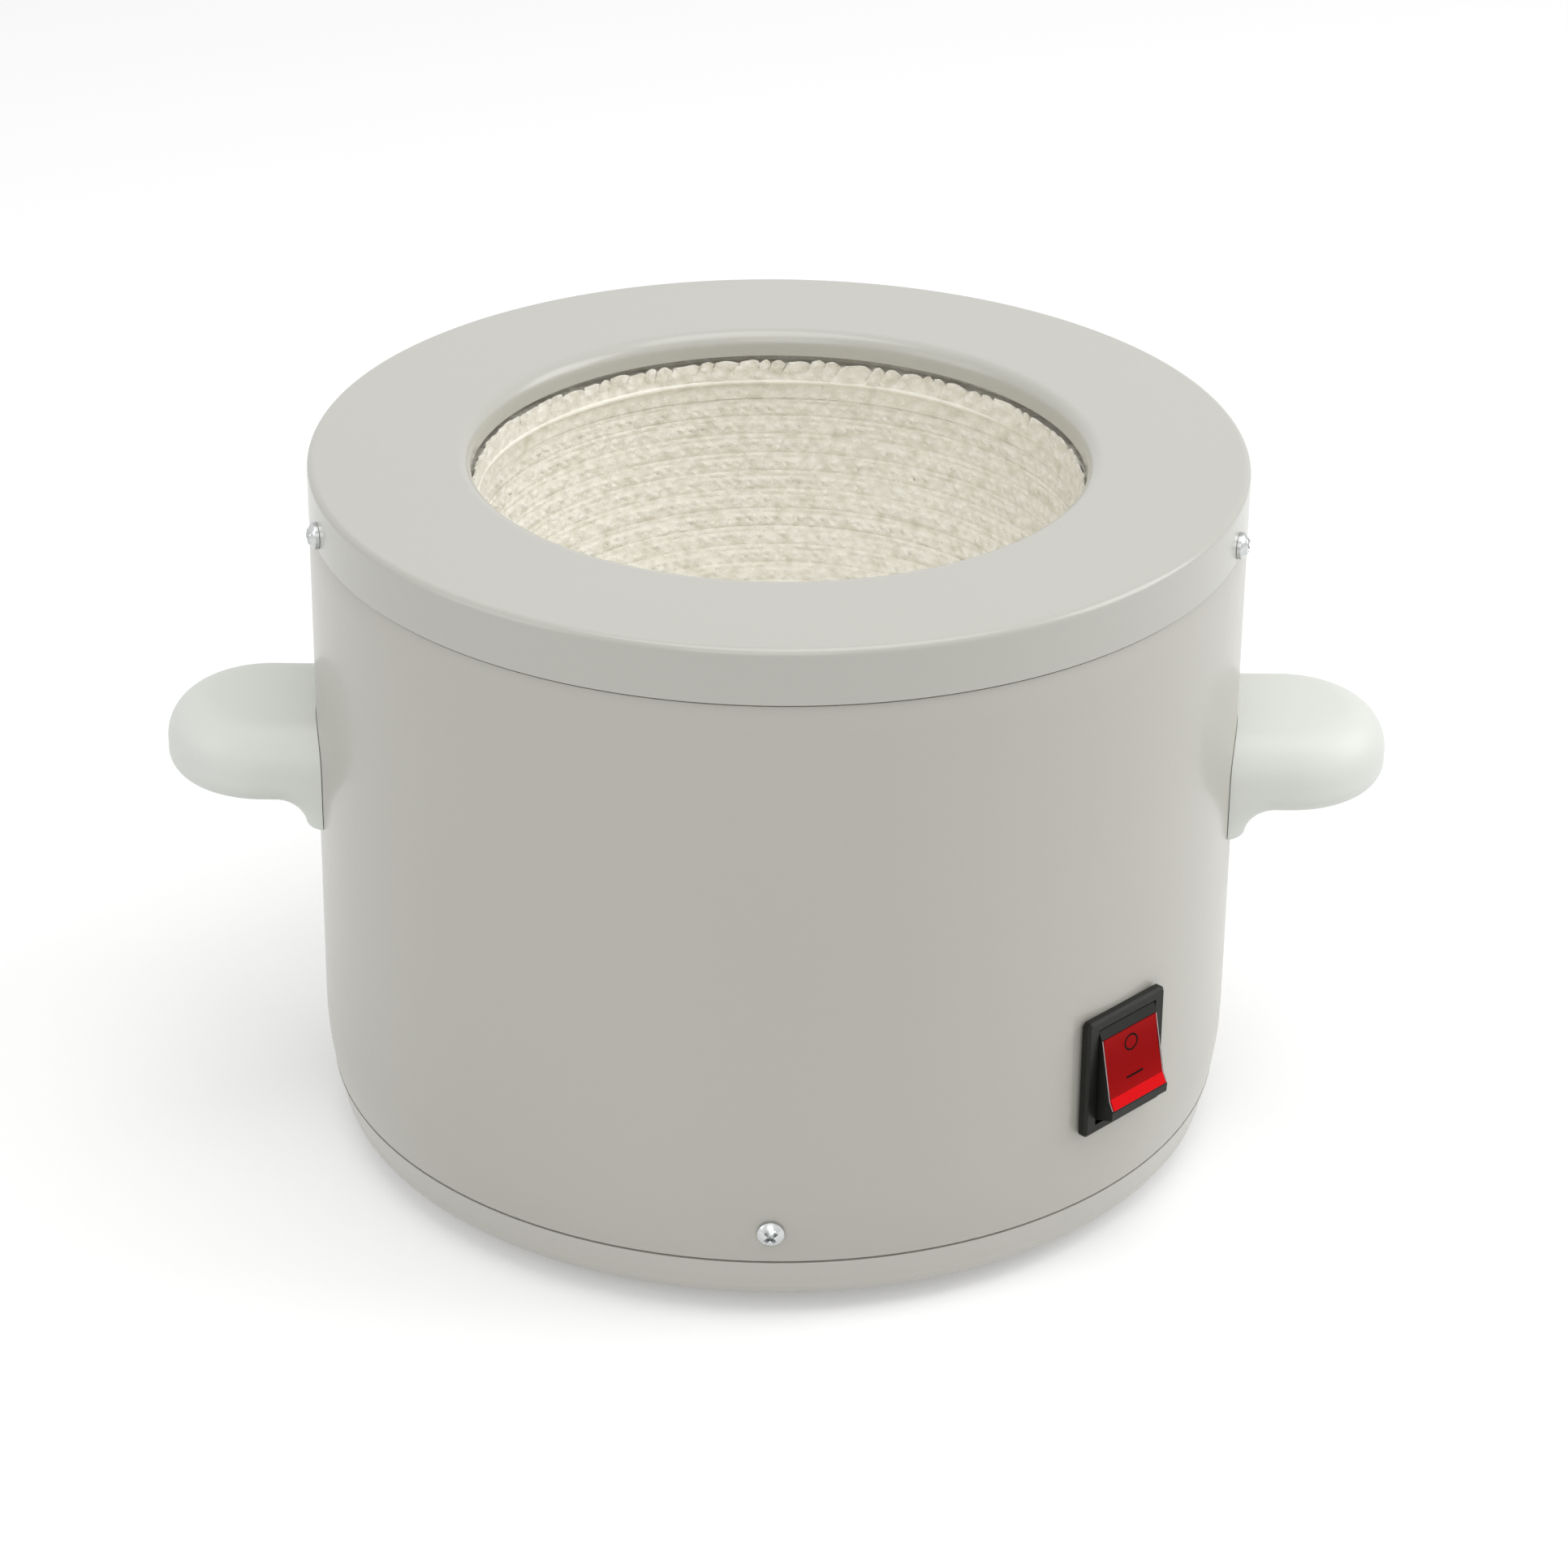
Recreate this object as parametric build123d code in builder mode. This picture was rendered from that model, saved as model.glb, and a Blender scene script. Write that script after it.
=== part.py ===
"""Heating mantle for a round-bottom laboratory flask.

A pressed-steel case with a turned-down opening holds a knitted glass-fibre heating cup
in an insulated inner pan. It has two moulded ear handles, a rocker switch low on the
front right and an appliance inlet at the back. Millimetres, +Z up, with the case's axis
on Z and the floor at Z = 0. Azimuths are in degrees from the front (-Y) towards the
right (+X).
"""
from build123d import *
from math import acos, asin, cos, degrees, radians, sin, sqrt
import os

# --- Case ---------------------------------------------------------------------------
body_radius = 102.5  # outside of the rolled body and of the cover's skirt
overall_height = 159.5  # floor to the top of the cover
sheet = 1.2  # steel sheet of the cover, the body and the base pan
wall_cut = 20.0  # length of the cuts made through a round wall
foot_height = 4.0  # rubber below the base pan

cover_skirt_depth = 12.2
cover_corner_radius = 1.5  # outside of the bend round the cover's edge
flask_hole_radius = 67.2  # inside of the turned-down lip
lip_bend_radius = 3.2
lip_depth = 5.6  # top of the cover to the lip's cut edge

joggle_height = 8.4  # part of the body that stands inside the cover's skirt
joggle_clearance = 0.15
cover_seam_gap = 0.5
shoulder_height = 6.0  # soft shoulder that turns in below the cover
shoulder_inset = 0.5

rim_height = 14.0  # rolled-in lower rim of the body
rim_inset = 1.4
base_seam_gap = 0.5
base_side_height = 10.5  # part of the base pan seen below the body
base_corner_radius = 4.5
base_taper = 1.6  # how far the pan draws in towards its bottom
base_upstand_height = 13.0  # part of the pan that stands inside the body
base_upstand_clearance = 0.2

# --- Fasteners of the case ----------------------------------------------------------
cover_screw_azimuths = (-73.5, 73.5, 180.0)
cover_screw_depth = 9.0  # below the top of the cover
base_screw_azimuths = (0.0, 120.0, 240.0)
base_screw_height = 23.0
case_screw_radius = 1.45  # over the thread
case_screw_length = 7.5
case_screw_head_radius = 2.9
case_screw_head_height = 2.1
head_edge_share = 0.4  # straight part of a pan head's height
screw_hole_clearance = 0.1
clip_width = 9.0  # sheet clip nut behind each case screw
clip_height = 8.0
clip_thickness = 0.8
clip_barrel_radius = 2.6
clip_barrel_length = 2.2
seat_gap = 0.05  # left between parts that are tightened against each other

# --- Handles ------------------------------------------------------------------------
handle_reach = 33.8  # body wall to tip
handle_side_length = 11.4  # straight part of each side, out from the wall
handle_thickness = 17.6
handle_depth = 69.1  # top of the cover to the middle of the handle
handle_top_radius = 10.0
handle_lower_radius = 5.0
handle_web_drop = 6.0  # root below the underside
handle_web_radius = 6.5
handle_foot = 1.6  # thickness of the web's lower end
handle_foot_radius = 1.0
handle_wall_gap = 0.1
handle_screw_offset = 8.5  # degrees each side of the handle's middle
handle_screw_radius = 2.0
handle_screw_length = 11.0
handle_screw_head_radius = 3.9
handle_screw_head_height = 2.4
washer_radius = 4.5
washer_thickness = 0.8
insert_radius = 3.3
insert_length = 9.0
insert_clearance = 0.05

# --- Rocker switch ------------------------------------------------------------------
switch_azimuth = 46.5
switch_depth = 111.7  # top of the cover to the switch's centre
bezel_width = 25.0
bezel_height = 28.0
bezel_thickness = 2.0
bezel_edge = 0.6
bezel_corner_radius = 1.2
housing_width = 21.2
housing_height = 25.6
housing_depth = 24.0
well_width = 18.8
well_height = 23.4
well_depth = 10.0
cutout_clearance = 0.25
lug_depth = 2.1  # behind the bezel, just clear of the wall's inside
lug_length = 4.4
lug_rise = 0.8
lug_width = 4.0
lug_offset = 8.0  # above and below the switch's middle
rocker_side_gap = 0.3
rocker_half_travel = 11.0  # degrees from level to either stop
pivot_depth = 3.6  # pivot behind the bezel's front
pivot_radius = 1.5
pivot_clearance = 0.05
pivot_reach = 0.85  # length of each stub past the rocker's side
rocker_rise = 5.9  # pivot to the rocker's face
rocker_face_half = 8.6  # the face, between its sloped ends
rocker_end_half = 10.4
rocker_end_drop = 0.5
rocker_root_half = 11.3
rocker_root_drop = 1.5  # underside below the pivot
rocker_stem_width = 3.6
rocker_stem_length = 4.2
grip_rise = 0.7  # the raised grip at the lower end of the face
grip_length = 2.5
lens_rim = 0.5  # black edge left round the red lens
lens_thickness = 1.5
lens_proud = 0.2
lens_dish = 0.3  # hollow in the middle of the lens
lens_clearance = 0.05
blade_width = 4.8
blade_thickness = 0.8
blade_length = 8.0
blade_spread_x = 5.0
blade_spread_y = 6.5

# --- Appliance inlet ----------------------------------------------------------------
inlet_azimuth = 180.0
inlet_height = 52.0
inlet_flange_width = 24.0
inlet_flange_height = 50.0
inlet_flange_thickness = 3.0
inlet_flange_corner = 4.0
inlet_mouth_width = 16.9
inlet_mouth_height = 24.6
inlet_mouth_depth = 17.0
inlet_mouth_chamfer = 5.0
inlet_wall = 1.5
inlet_back = 2.0
inlet_screw_spacing = 40.0
inlet_screw_radius = 1.45
inlet_screw_head_radius = 2.8
inlet_screw_head_depth = 1.6
inlet_screw_length = 9.0
nut_across_flats = 5.5
nut_height = 2.4
pin_width = 4.0
pin_thickness = 2.0
pin_length = 12.0
pin_tail_length = 9.0
pin_pitch = 7.0  # live and neutral each side of the middle
earth_pin_offset = 4.0

# --- Heating cup, element, insulation and inner pan -----------------------------------
cup_radius = 66.0  # inside of the knitted cup, for a 131 mm flask
cup_wall = 4.0
cup_centre_depth = 9.5  # top of the cover to the centre of the bowl
cup_rows = 20  # knitted rows from rim to pole
cup_row_relief = 0.9
cup_rim_gap = 0.5  # below the lip's cut edge
cup_hem_margin = 5.0  # from the hem's edge to the inner pan's wall
cup_flange_thickness = 2.2
element_turns = 6
tape_width = 3.0
tape_thickness = 1.0
tape_end_gap = 8.0  # degrees left open between the two ends of a turn
tape_link_sweep = 2.6  # degrees taken by each link from one turn to the next
element_gap = 0.1
element_top_angle = 12.0  # first turn, degrees below the cup's centre
element_pitch_angle = 12.0
insulation_gap = 0.2
insulation_under = 15.0  # below the bowl's lowest point
pan_sheet = 1.0
pan_bend_radius = 52.0
screw_tip_clearance = 1.05  # between the case screws' ends and the pan's wall
gasket_width = 6.5

# --- Electrical parts inside ----------------------------------------------------------
cutout_radius = 8.0
cutout_height = 9.0
cutout_ear_half = 15.5
cutout_ear_width = 6.0
cutout_ear_thickness = 0.8
cutout_stud_spacing = 24.0
stud_radius = 1.45
stud_length = 6.0
terminal_block_x = -24.0
terminal_block_y = 4.0
terminal_block_length = 34.0
terminal_block_width = 17.0
terminal_block_height = 15.0
terminal_way_rise = 6.05  # the ways' middle above the base pan's floor
terminal_way_pitch = 10.0
terminal_ways = 3
terminal_bore_radius = 2.0
terminal_screw_radius = 1.7
terminal_screw_length = 6.0
block_screw_radius = 1.45
block_screw_reach = 1.5  # thread past the base pan
earth_x = 20.0
earth_y = 48.0
earth_bolt_radius = 2.0
earth_bolt_length = 16.0
earth_nut_flats = 7.0
earth_nut_height = 3.2

# --- Feet ----------------------------------------------------------------------------
foot_azimuths = (45.0, 135.0, 225.0, 315.0)
foot_circle_radius = 74.0
foot_top_radius = 9.0
foot_bottom_radius = 7.8
foot_screw_radius = 2.0
foot_screw_head_radius = 3.8
foot_screw_head_height = 1.6
foot_screw_length = 9.0
foot_recess_depth = 2.0
vent_count = 12
vent_circle_radius = 60.0
vent_length = 20.0
vent_width = 3.0

# --- Heights and radii worked out from the sizes above ---------------------------------
cover_seam_height = overall_height - cover_skirt_depth
body_top = cover_seam_height + joggle_height
body_shoulder_height = cover_seam_height - cover_seam_gap
base_bottom = foot_height
base_floor = base_bottom + sheet
base_seam_height = base_bottom + base_side_height
body_bottom = base_seam_height + base_seam_gap
rim_radius = body_radius - rim_inset
rim_top = body_bottom + rim_height
rim_bend = (rim_height**2 + rim_inset**2) / (2 * rim_inset)
joggle_radius = body_radius - sheet - joggle_clearance
upstand_radius = rim_radius - sheet - base_upstand_clearance
upstand_top = body_bottom + base_upstand_height
cover_screw_height = overall_height - cover_screw_depth
handle_height = overall_height - handle_depth
handle_half_width = handle_reach - handle_side_length
switch_height = overall_height - switch_depth
cup_centre_height = overall_height - cup_centre_depth
cup_rim_height = overall_height - lip_depth - cup_rim_gap
cup_outer_radius = cup_radius + cup_wall
tape_inner = cup_outer_radius + element_gap
tape_outer = tape_inner + tape_thickness
insulation_radius = tape_outer + element_gap
pan_radius = body_radius + seat_gap - case_screw_length - screw_tip_clearance
pan_bottom_height = (
    cup_centre_height - insulation_radius - insulation_under - insulation_gap - pan_sheet
)
pan_flange_radius = joggle_radius - joggle_clearance
cup_flange_radius = pan_radius - pan_sheet - cup_hem_margin
insulation_top = cup_rim_height - cup_flange_thickness - seat_gap
pan_flange_bottom = body_top + seat_gap
pan_flange_top = pan_flange_bottom + pan_sheet


def body_radius_at(height):
    """Outside radius of the body, which draws in along its lower rim."""
    drop = max(rim_top - height, 0)
    return body_radius - rim_bend + sqrt(rim_bend**2 - drop**2)


upstand_top_radius = body_radius_at(upstand_top) - sheet - base_upstand_clearance


def upstand_radius_at(height):
    """Outside radius of the base pan's upstand, which flares to follow the body."""
    share = (height - base_seam_height) / (upstand_top - base_seam_height)
    return upstand_radius + share * (upstand_top_radius - upstand_radius)


def wall_plane(azimuth, distance, height):
    """A plane facing out of the case: x to the right as seen from outside, y up."""
    angle = radians(azimuth)
    outward = Vector(sin(angle), -cos(angle), 0)
    origin = outward * distance + Vector(0, 0, height)
    return Plane(origin=origin, x_dir=(cos(angle), sin(angle), 0), z_dir=outward)


def side_plane(seat, depth=0.0):
    """A side view of what is fitted in a seat: x runs out of the case, y up."""
    origin = seat.origin - seat.z_dir * depth
    return Plane(origin=origin, x_dir=seat.z_dir, z_dir=seat.x_dir * -1)


def seat_axis(seat):
    """The direction a seat faces, for sorting faces and edges."""
    return Axis(seat.origin, seat.z_dir)


def inner_plane(azimuth, distance, height):
    """The same plane turned round: it faces the case's axis, y still up."""
    outer = wall_plane(azimuth, distance, height)
    return Plane(origin=outer.origin, x_dir=outer.x_dir * -1, z_dir=outer.z_dir * -1)


def flat_inside(radius, half_width):
    """How far out a flat piece can lie inside a round wall before its edges touch."""
    return sqrt(radius**2 - half_width**2) - seat_gap


def pan_head_screw(head_radius, head_height, thread_radius, length):
    """A domed pan-head screw along Z, its head standing on the XY plane."""
    edge = head_edge_share * head_height
    dome_height = head_height - edge
    dome_radius = (head_radius**2 + dome_height**2) / (2 * dome_height)
    dome_angle = degrees(asin(head_radius / dome_radius))
    with BuildPart() as screw:
        with BuildSketch(Plane.XZ):
            with BuildLine():
                Polyline(
                    (0, head_height),
                    (0, -length),
                    (thread_radius, -length),
                    (thread_radius, 0),
                    (head_radius, 0),
                    (head_radius, edge),
                )
                CenterArc((0, head_height - dome_radius), dome_radius, 90 - dome_angle, dome_angle)
            make_face()
        revolve(axis=Axis.Z)
    return screw.part


def hex_nut(across_flats, height, bore_radius):
    """A hexagon nut that stands on the XY plane."""
    with BuildPart() as nut:
        with BuildSketch():
            RegularPolygon(across_flats / 2, 6, major_radius=False)
            Circle(bore_radius, mode=Mode.SUBTRACT)
        extrude(amount=height)
    return nut.part


def wall_hole(azimuth, height, radius):
    """Drill a round hole square through the wall at one azimuth."""
    with Locations(wall_plane(azimuth, body_radius, height)):
        Cylinder(radius, wall_cut, mode=Mode.SUBTRACT)


# --- Top cover: a pressed ring with an outer skirt and a lip turned down into the hole ---
case_screw_hole = case_screw_radius + screw_hole_clearance
with BuildPart() as top_cover:
    with BuildSketch(Plane.XZ):
        with BuildLine():
            Polyline(
                (body_radius - sheet, cover_seam_height),
                (body_radius, cover_seam_height),
                (body_radius, overall_height - cover_corner_radius),
            )
            RadiusArc(
                (body_radius, overall_height - cover_corner_radius),
                (body_radius - cover_corner_radius, overall_height),
                -cover_corner_radius,
            )
            Line(
                (body_radius - cover_corner_radius, overall_height),
                (flask_hole_radius + lip_bend_radius, overall_height),
            )
            RadiusArc(
                (flask_hole_radius + lip_bend_radius, overall_height),
                (flask_hole_radius, overall_height - lip_bend_radius),
                -lip_bend_radius,
            )
            Polyline(
                (flask_hole_radius, overall_height - lip_bend_radius),
                (flask_hole_radius, overall_height - lip_depth),
                (flask_hole_radius + sheet, overall_height - lip_depth),
                (flask_hole_radius + sheet, overall_height - lip_bend_radius),
            )
            RadiusArc(
                (flask_hole_radius + sheet, overall_height - lip_bend_radius),
                (flask_hole_radius + lip_bend_radius, overall_height - sheet),
                lip_bend_radius - sheet,
            )
            Polyline(
                (flask_hole_radius + lip_bend_radius, overall_height - sheet),
                (body_radius - sheet, overall_height - sheet),
                (body_radius - sheet, cover_seam_height),
            )
        make_face()
    revolve(axis=Axis.Z)
    for azimuth in cover_screw_azimuths:
        wall_hole(azimuth, cover_screw_height, case_screw_hole)
top_cover.part.label = "top_cover"

# --- Body shell: a rolled cylinder, joggled in under the cover, its lower rim spun in ----
shoulder_bottom = body_shoulder_height - shoulder_height
switch_seat = wall_plane(switch_azimuth, body_radius + seat_gap, switch_height)
inlet_seat = wall_plane(inlet_azimuth, body_radius + seat_gap, inlet_height)
inlet_tub_width = inlet_mouth_width + 2 * inlet_wall
inlet_tub_height = inlet_mouth_height + 2 * inlet_wall
shoulder_bend = (shoulder_height**2 + shoulder_inset**2) / (2 * shoulder_inset)
with BuildPart() as body_shell:
    with BuildSketch(Plane.XZ):
        with BuildLine():
            RadiusArc((rim_radius, body_bottom), (body_radius, rim_top), -rim_bend)
            Line((body_radius, rim_top), (body_radius, shoulder_bottom))
            RadiusArc(
                (body_radius, shoulder_bottom),
                (body_radius - shoulder_inset, body_shoulder_height),
                -shoulder_bend,
            )
            Polyline(
                (body_radius - shoulder_inset, body_shoulder_height),
                (joggle_radius, body_shoulder_height),
                (joggle_radius, body_top),
                (joggle_radius - sheet, body_top),
                (joggle_radius - sheet, body_shoulder_height - sheet),
                (body_radius - sheet, shoulder_bottom),
                (body_radius - sheet, rim_top),
            )
            RadiusArc(
                (body_radius - sheet, rim_top), (rim_radius - sheet, body_bottom), rim_bend - sheet
            )
            Line((rim_radius - sheet, body_bottom), (rim_radius, body_bottom))
        make_face()
    revolve(axis=Axis.Z)
    for azimuth in cover_screw_azimuths:
        wall_hole(azimuth, cover_screw_height, case_screw_hole)
    for azimuth in base_screw_azimuths:
        wall_hole(azimuth, base_screw_height, case_screw_hole)
    for side in (-90.0, 90.0):
        for offset in (-handle_screw_offset, handle_screw_offset):
            wall_hole(side + offset, handle_height, handle_screw_radius + screw_hole_clearance)
    with BuildSketch(switch_seat):
        Rectangle(housing_width + 2 * cutout_clearance, housing_height + 2 * cutout_clearance)
    extrude(amount=-wall_cut, mode=Mode.SUBTRACT)
    with BuildSketch(inlet_seat):
        Rectangle(inlet_tub_width + 2 * cutout_clearance, inlet_tub_height + 2 * cutout_clearance)
        with GridLocations(0, inlet_screw_spacing, 1, 2):
            Circle(inlet_screw_radius + screw_hole_clearance)
    extrude(amount=-wall_cut, mode=Mode.SUBTRACT)
body_shell.part.label = "body_shell"

# --- Base pan: a shallow pressed dish whose upstand fits inside the body ------------------
base_edge_radius = rim_radius - base_taper
foot_hole_radius = foot_screw_radius + screw_hole_clearance
with BuildPart() as base_pan:
    with BuildSketch(Plane.XZ):
        with BuildLine():
            Line((0, base_bottom), (base_edge_radius - base_corner_radius, base_bottom))
            RadiusArc(
                (base_edge_radius - base_corner_radius, base_bottom),
                (base_edge_radius, base_bottom + base_corner_radius),
                -base_corner_radius,
            )
            Polyline(
                (base_edge_radius, base_bottom + base_corner_radius),
                (rim_radius, base_seam_height),
                (upstand_radius, base_seam_height),
                (upstand_top_radius, upstand_top),
                (upstand_top_radius - sheet, upstand_top),
                (upstand_radius - sheet, base_seam_height - sheet),
                (base_edge_radius - base_corner_radius, base_floor),
                (0, base_floor),
                (0, base_bottom),
            )
        make_face()
    revolve(axis=Axis.Z)
    for azimuth in base_screw_azimuths:
        wall_hole(azimuth, base_screw_height, case_screw_hole)
    with BuildSketch(Plane.XY.offset(base_bottom)):
        with PolarLocations(vent_circle_radius, vent_count):
            SlotOverall(vent_length, vent_width)
        for azimuth in foot_azimuths:
            with PolarLocations(foot_circle_radius, 1, start_angle=azimuth):
                Circle(foot_hole_radius)
        with Locations((terminal_block_x, terminal_block_y)):
            with GridLocations(terminal_way_pitch, 0, 2, 1):
                Circle(block_screw_radius + screw_hole_clearance)
        with Locations((earth_x, earth_y)):
            Circle(earth_bolt_radius + screw_hole_clearance)
    extrude(amount=sheet, mode=Mode.SUBTRACT)
base_pan.part.label = "base_pan"

# --- Case screws: pan heads on the outside, sheet clip nuts behind ------------------------
base_screw_seat_radius = body_radius_at(base_screw_height + case_screw_head_radius) + seat_gap
case_screw = pan_head_screw(
    case_screw_head_radius, case_screw_head_height, case_screw_radius, case_screw_length
)
with BuildPart() as cover_screws:
    for azimuth in cover_screw_azimuths:
        with Locations(wall_plane(azimuth, body_radius + seat_gap, cover_screw_height)):
            add(case_screw)
cover_screws.part.label = "cover_screws"

with BuildPart() as base_screws:
    for azimuth in base_screw_azimuths:
        with Locations(wall_plane(azimuth, base_screw_seat_radius, base_screw_height)):
            add(case_screw)
base_screws.part.label = "base_screws"

with BuildPart() as clip_nut:
    with BuildSketch():
        RectangleRounded(clip_width, clip_height, clip_thickness)
    extrude(amount=clip_thickness)
    Cylinder(
        clip_barrel_radius,
        clip_thickness + clip_barrel_length,
        align=(Align.CENTER, Align.CENTER, Align.MIN),
    )
    Hole(case_screw_hole)

cover_clip_distance = flat_inside(joggle_radius - sheet, clip_width / 2)
base_clip_wall = upstand_radius_at(base_screw_height - clip_height / 2) - sheet
base_clip_distance = flat_inside(base_clip_wall, clip_width / 2)
with BuildPart() as cover_clip_nuts:
    for azimuth in cover_screw_azimuths:
        with Locations(inner_plane(azimuth, cover_clip_distance, cover_screw_height)):
            add(clip_nut.part)
cover_clip_nuts.part.label = "cover_clip_nuts"

with BuildPart() as base_clip_nuts:
    for azimuth in base_screw_azimuths:
        with Locations(inner_plane(azimuth, base_clip_distance, base_screw_height)):
            add(clip_nut.part)
base_clip_nuts.part.label = "base_clip_nuts"

# --- Ear handles: solid mouldings with a round end and a web flared against the wall -------
handle_top = handle_height + handle_thickness / 2
handle_underside = handle_height - handle_thickness / 2
handle_root = handle_underside - handle_web_drop
handle_back = body_radius - 2 * handle_web_radius
handle_tip = body_radius + handle_reach
web_angle = degrees(acos(1 - handle_web_drop / handle_web_radius))
web_foot = body_radius + handle_foot
web_start = web_foot + handle_web_radius * sin(radians(web_angle))
insert_hole_radius = insert_radius + insert_clearance
insert_hole_depth = insert_length + insert_clearance
handle_screw_azimuths = (90 - handle_screw_offset, 90 + handle_screw_offset)
with BuildPart() as handle_right:
    with BuildSketch(Plane.XY.offset(handle_root)):
        with Locations((body_radius, 0)):
            SlotOverall(2 * handle_reach, 2 * handle_half_width)
    extrude(amount=handle_top - handle_root)
    with BuildSketch(Plane.XZ):
        with BuildLine():
            CenterArc(
                (web_start, handle_underside - handle_web_radius),
                handle_web_radius,
                90,
                web_angle,
            )
            Polyline(
                (web_foot, handle_root),
                (handle_back, handle_root),
                (handle_back, handle_top),
                (handle_tip + handle_reach, handle_top),
                (handle_tip + handle_reach, handle_underside),
                (web_start, handle_underside),
            )
        make_face()
    extrude(amount=2 * handle_half_width, both=True, mode=Mode.INTERSECT)
    for edge_point, edge_radius in (
        ((handle_tip, 0, handle_top), handle_top_radius),
        ((handle_tip, 0, handle_underside), handle_lower_radius),
        ((web_foot, 0, handle_root), handle_foot_radius),
    ):
        fillet(handle_right.edges().sort_by_distance(edge_point)[0], edge_radius)
    Cylinder(body_radius + handle_wall_gap, 2 * overall_height, mode=Mode.SUBTRACT)
    for azimuth in handle_screw_azimuths:
        with Locations(wall_plane(azimuth, body_radius, handle_height)):
            Cylinder(
                insert_hole_radius,
                handle_wall_gap + insert_hole_depth,
                align=(Align.CENTER, Align.CENTER, Align.MIN),
                mode=Mode.SUBTRACT,
            )
handle_right.part.label = "handle_right"

with BuildPart() as handle_left:
    mirror(handle_right.part, about=Plane.YZ)
handle_left.part.label = "handle_left"

# --- Handle fixings: brass inserts in the moulding, screws and washers inside the case ----
washer_seat = flat_inside(body_radius - sheet, washer_radius)
handle_screw_seat = washer_seat - washer_thickness
handle_azimuths = [side * angle for side in (-1, 1) for angle in handle_screw_azimuths]
with BuildPart() as handle_inserts:
    for azimuth in handle_azimuths:
        with Locations(wall_plane(azimuth, body_radius + handle_wall_gap, handle_height)):
            Cylinder(insert_radius, insert_length, align=(Align.CENTER, Align.CENTER, Align.MIN))
            Hole(handle_screw_radius + screw_hole_clearance, insert_length)
handle_inserts.part.label = "handle_inserts"

handle_screw = pan_head_screw(
    handle_screw_head_radius, handle_screw_head_height, handle_screw_radius, handle_screw_length
)
with BuildPart() as handle_screws:
    for azimuth in handle_azimuths:
        with Locations(inner_plane(azimuth, handle_screw_seat - seat_gap, handle_height)):
            add(handle_screw)
handle_screws.part.label = "handle_screws"

with BuildPart() as washer:
    with BuildSketch():
        Circle(washer_radius)
        Circle(handle_screw_radius + screw_hole_clearance, mode=Mode.SUBTRACT)
    extrude(amount=washer_thickness)

with BuildPart() as handle_washers:
    for azimuth in handle_azimuths:
        with Locations(inner_plane(azimuth, washer_seat, handle_height)):
            add(washer.part)
handle_washers.part.label = "handle_washers"

# --- Switch housing: a flat bezel in front of the wall and a box with an open well --------
bezel_front = switch_seat.offset(bezel_thickness)
switch_side = side_plane(switch_seat, pivot_depth - bezel_thickness)
with BuildPart() as switch_housing:
    with BuildSketch(switch_seat):
        RectangleRounded(bezel_width, bezel_height, bezel_corner_radius)
    extrude(amount=bezel_thickness)
    chamfer(switch_housing.faces().sort_by(seat_axis(switch_seat))[-1].edges(), bezel_edge)
    with BuildSketch(switch_seat):
        Rectangle(housing_width, housing_height)
    extrude(amount=-housing_depth)
    with BuildSketch(bezel_front):
        Rectangle(well_width, well_height)
    extrude(amount=-well_depth, mode=Mode.SUBTRACT)
    with BuildSketch(switch_side):
        Circle(pivot_radius + pivot_clearance)
    extrude(amount=housing_width, both=True, mode=Mode.SUBTRACT)
    for height in (-lug_offset, lug_offset):
        level = switch_seat * Location((0, height, 0))
        with BuildSketch(Plane(origin=level.position, x_dir=switch_seat.x_dir, z_dir=(0, 0, -1))):
            for side in (-1, 1):
                wall_x = side * housing_width / 2
                with BuildLine():
                    Polyline(
                        (wall_x, -lug_depth),
                        (wall_x + side * lug_rise, -lug_depth - lug_rise / 2),
                        (wall_x, -lug_depth - lug_length),
                        close=True,
                    )
                make_face()
        extrude(amount=lug_width / 2, both=True)
switch_housing.part.label = "switch_housing"

# --- Switch rocker: black, on two stub pivots, resting with the O end of its face in ------
pivot_axis = Axis(switch_side.origin, switch_side.z_dir)
rocker_plane = Plane(
    origin=switch_side.origin,
    x_dir=switch_side.x_dir.rotate(pivot_axis, rocker_half_travel),
    z_dir=switch_side.z_dir,
)
rocker_half_width = well_width / 2 - rocker_side_gap
lens_half = rocker_face_half - lens_rim
lens_half_width = rocker_half_width - lens_rim
lens_back = rocker_rise + lens_proud - lens_thickness
with BuildPart() as switch_rocker:
    with BuildSketch(rocker_plane):
        with BuildLine():
            Polyline(
                (rocker_rise - rocker_end_drop, rocker_end_half),
                (rocker_rise, rocker_face_half),
                (rocker_rise, grip_length - rocker_face_half),
                (rocker_rise + grip_rise, -rocker_face_half),
                (rocker_rise + grip_rise - rocker_end_drop, -rocker_end_half),
                (-rocker_root_drop, -rocker_root_half),
                (-rocker_root_drop, rocker_root_half),
                close=True,
            )
        make_face()
    extrude(amount=rocker_half_width, both=True)
    with BuildSketch(rocker_plane):
        with Locations((lens_back - lens_clearance, 0)):
            Rectangle(
                lens_thickness + grip_rise + lens_rim,
                2 * (lens_half + lens_clearance),
                align=(Align.MIN, Align.CENTER),
            )
    extrude(amount=lens_half_width + lens_clearance, both=True, mode=Mode.SUBTRACT)
    with BuildSketch(rocker_plane):
        with Locations((-rocker_root_drop - rocker_stem_length / 2, 0)):
            Rectangle(rocker_stem_length, rocker_stem_width)
    extrude(amount=rocker_half_width / 2, both=True)
    with BuildSketch(rocker_plane):
        Circle(pivot_radius)
    extrude(amount=rocker_half_width + pivot_reach, both=True)
switch_rocker.part.label = "switch_rocker"

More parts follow.
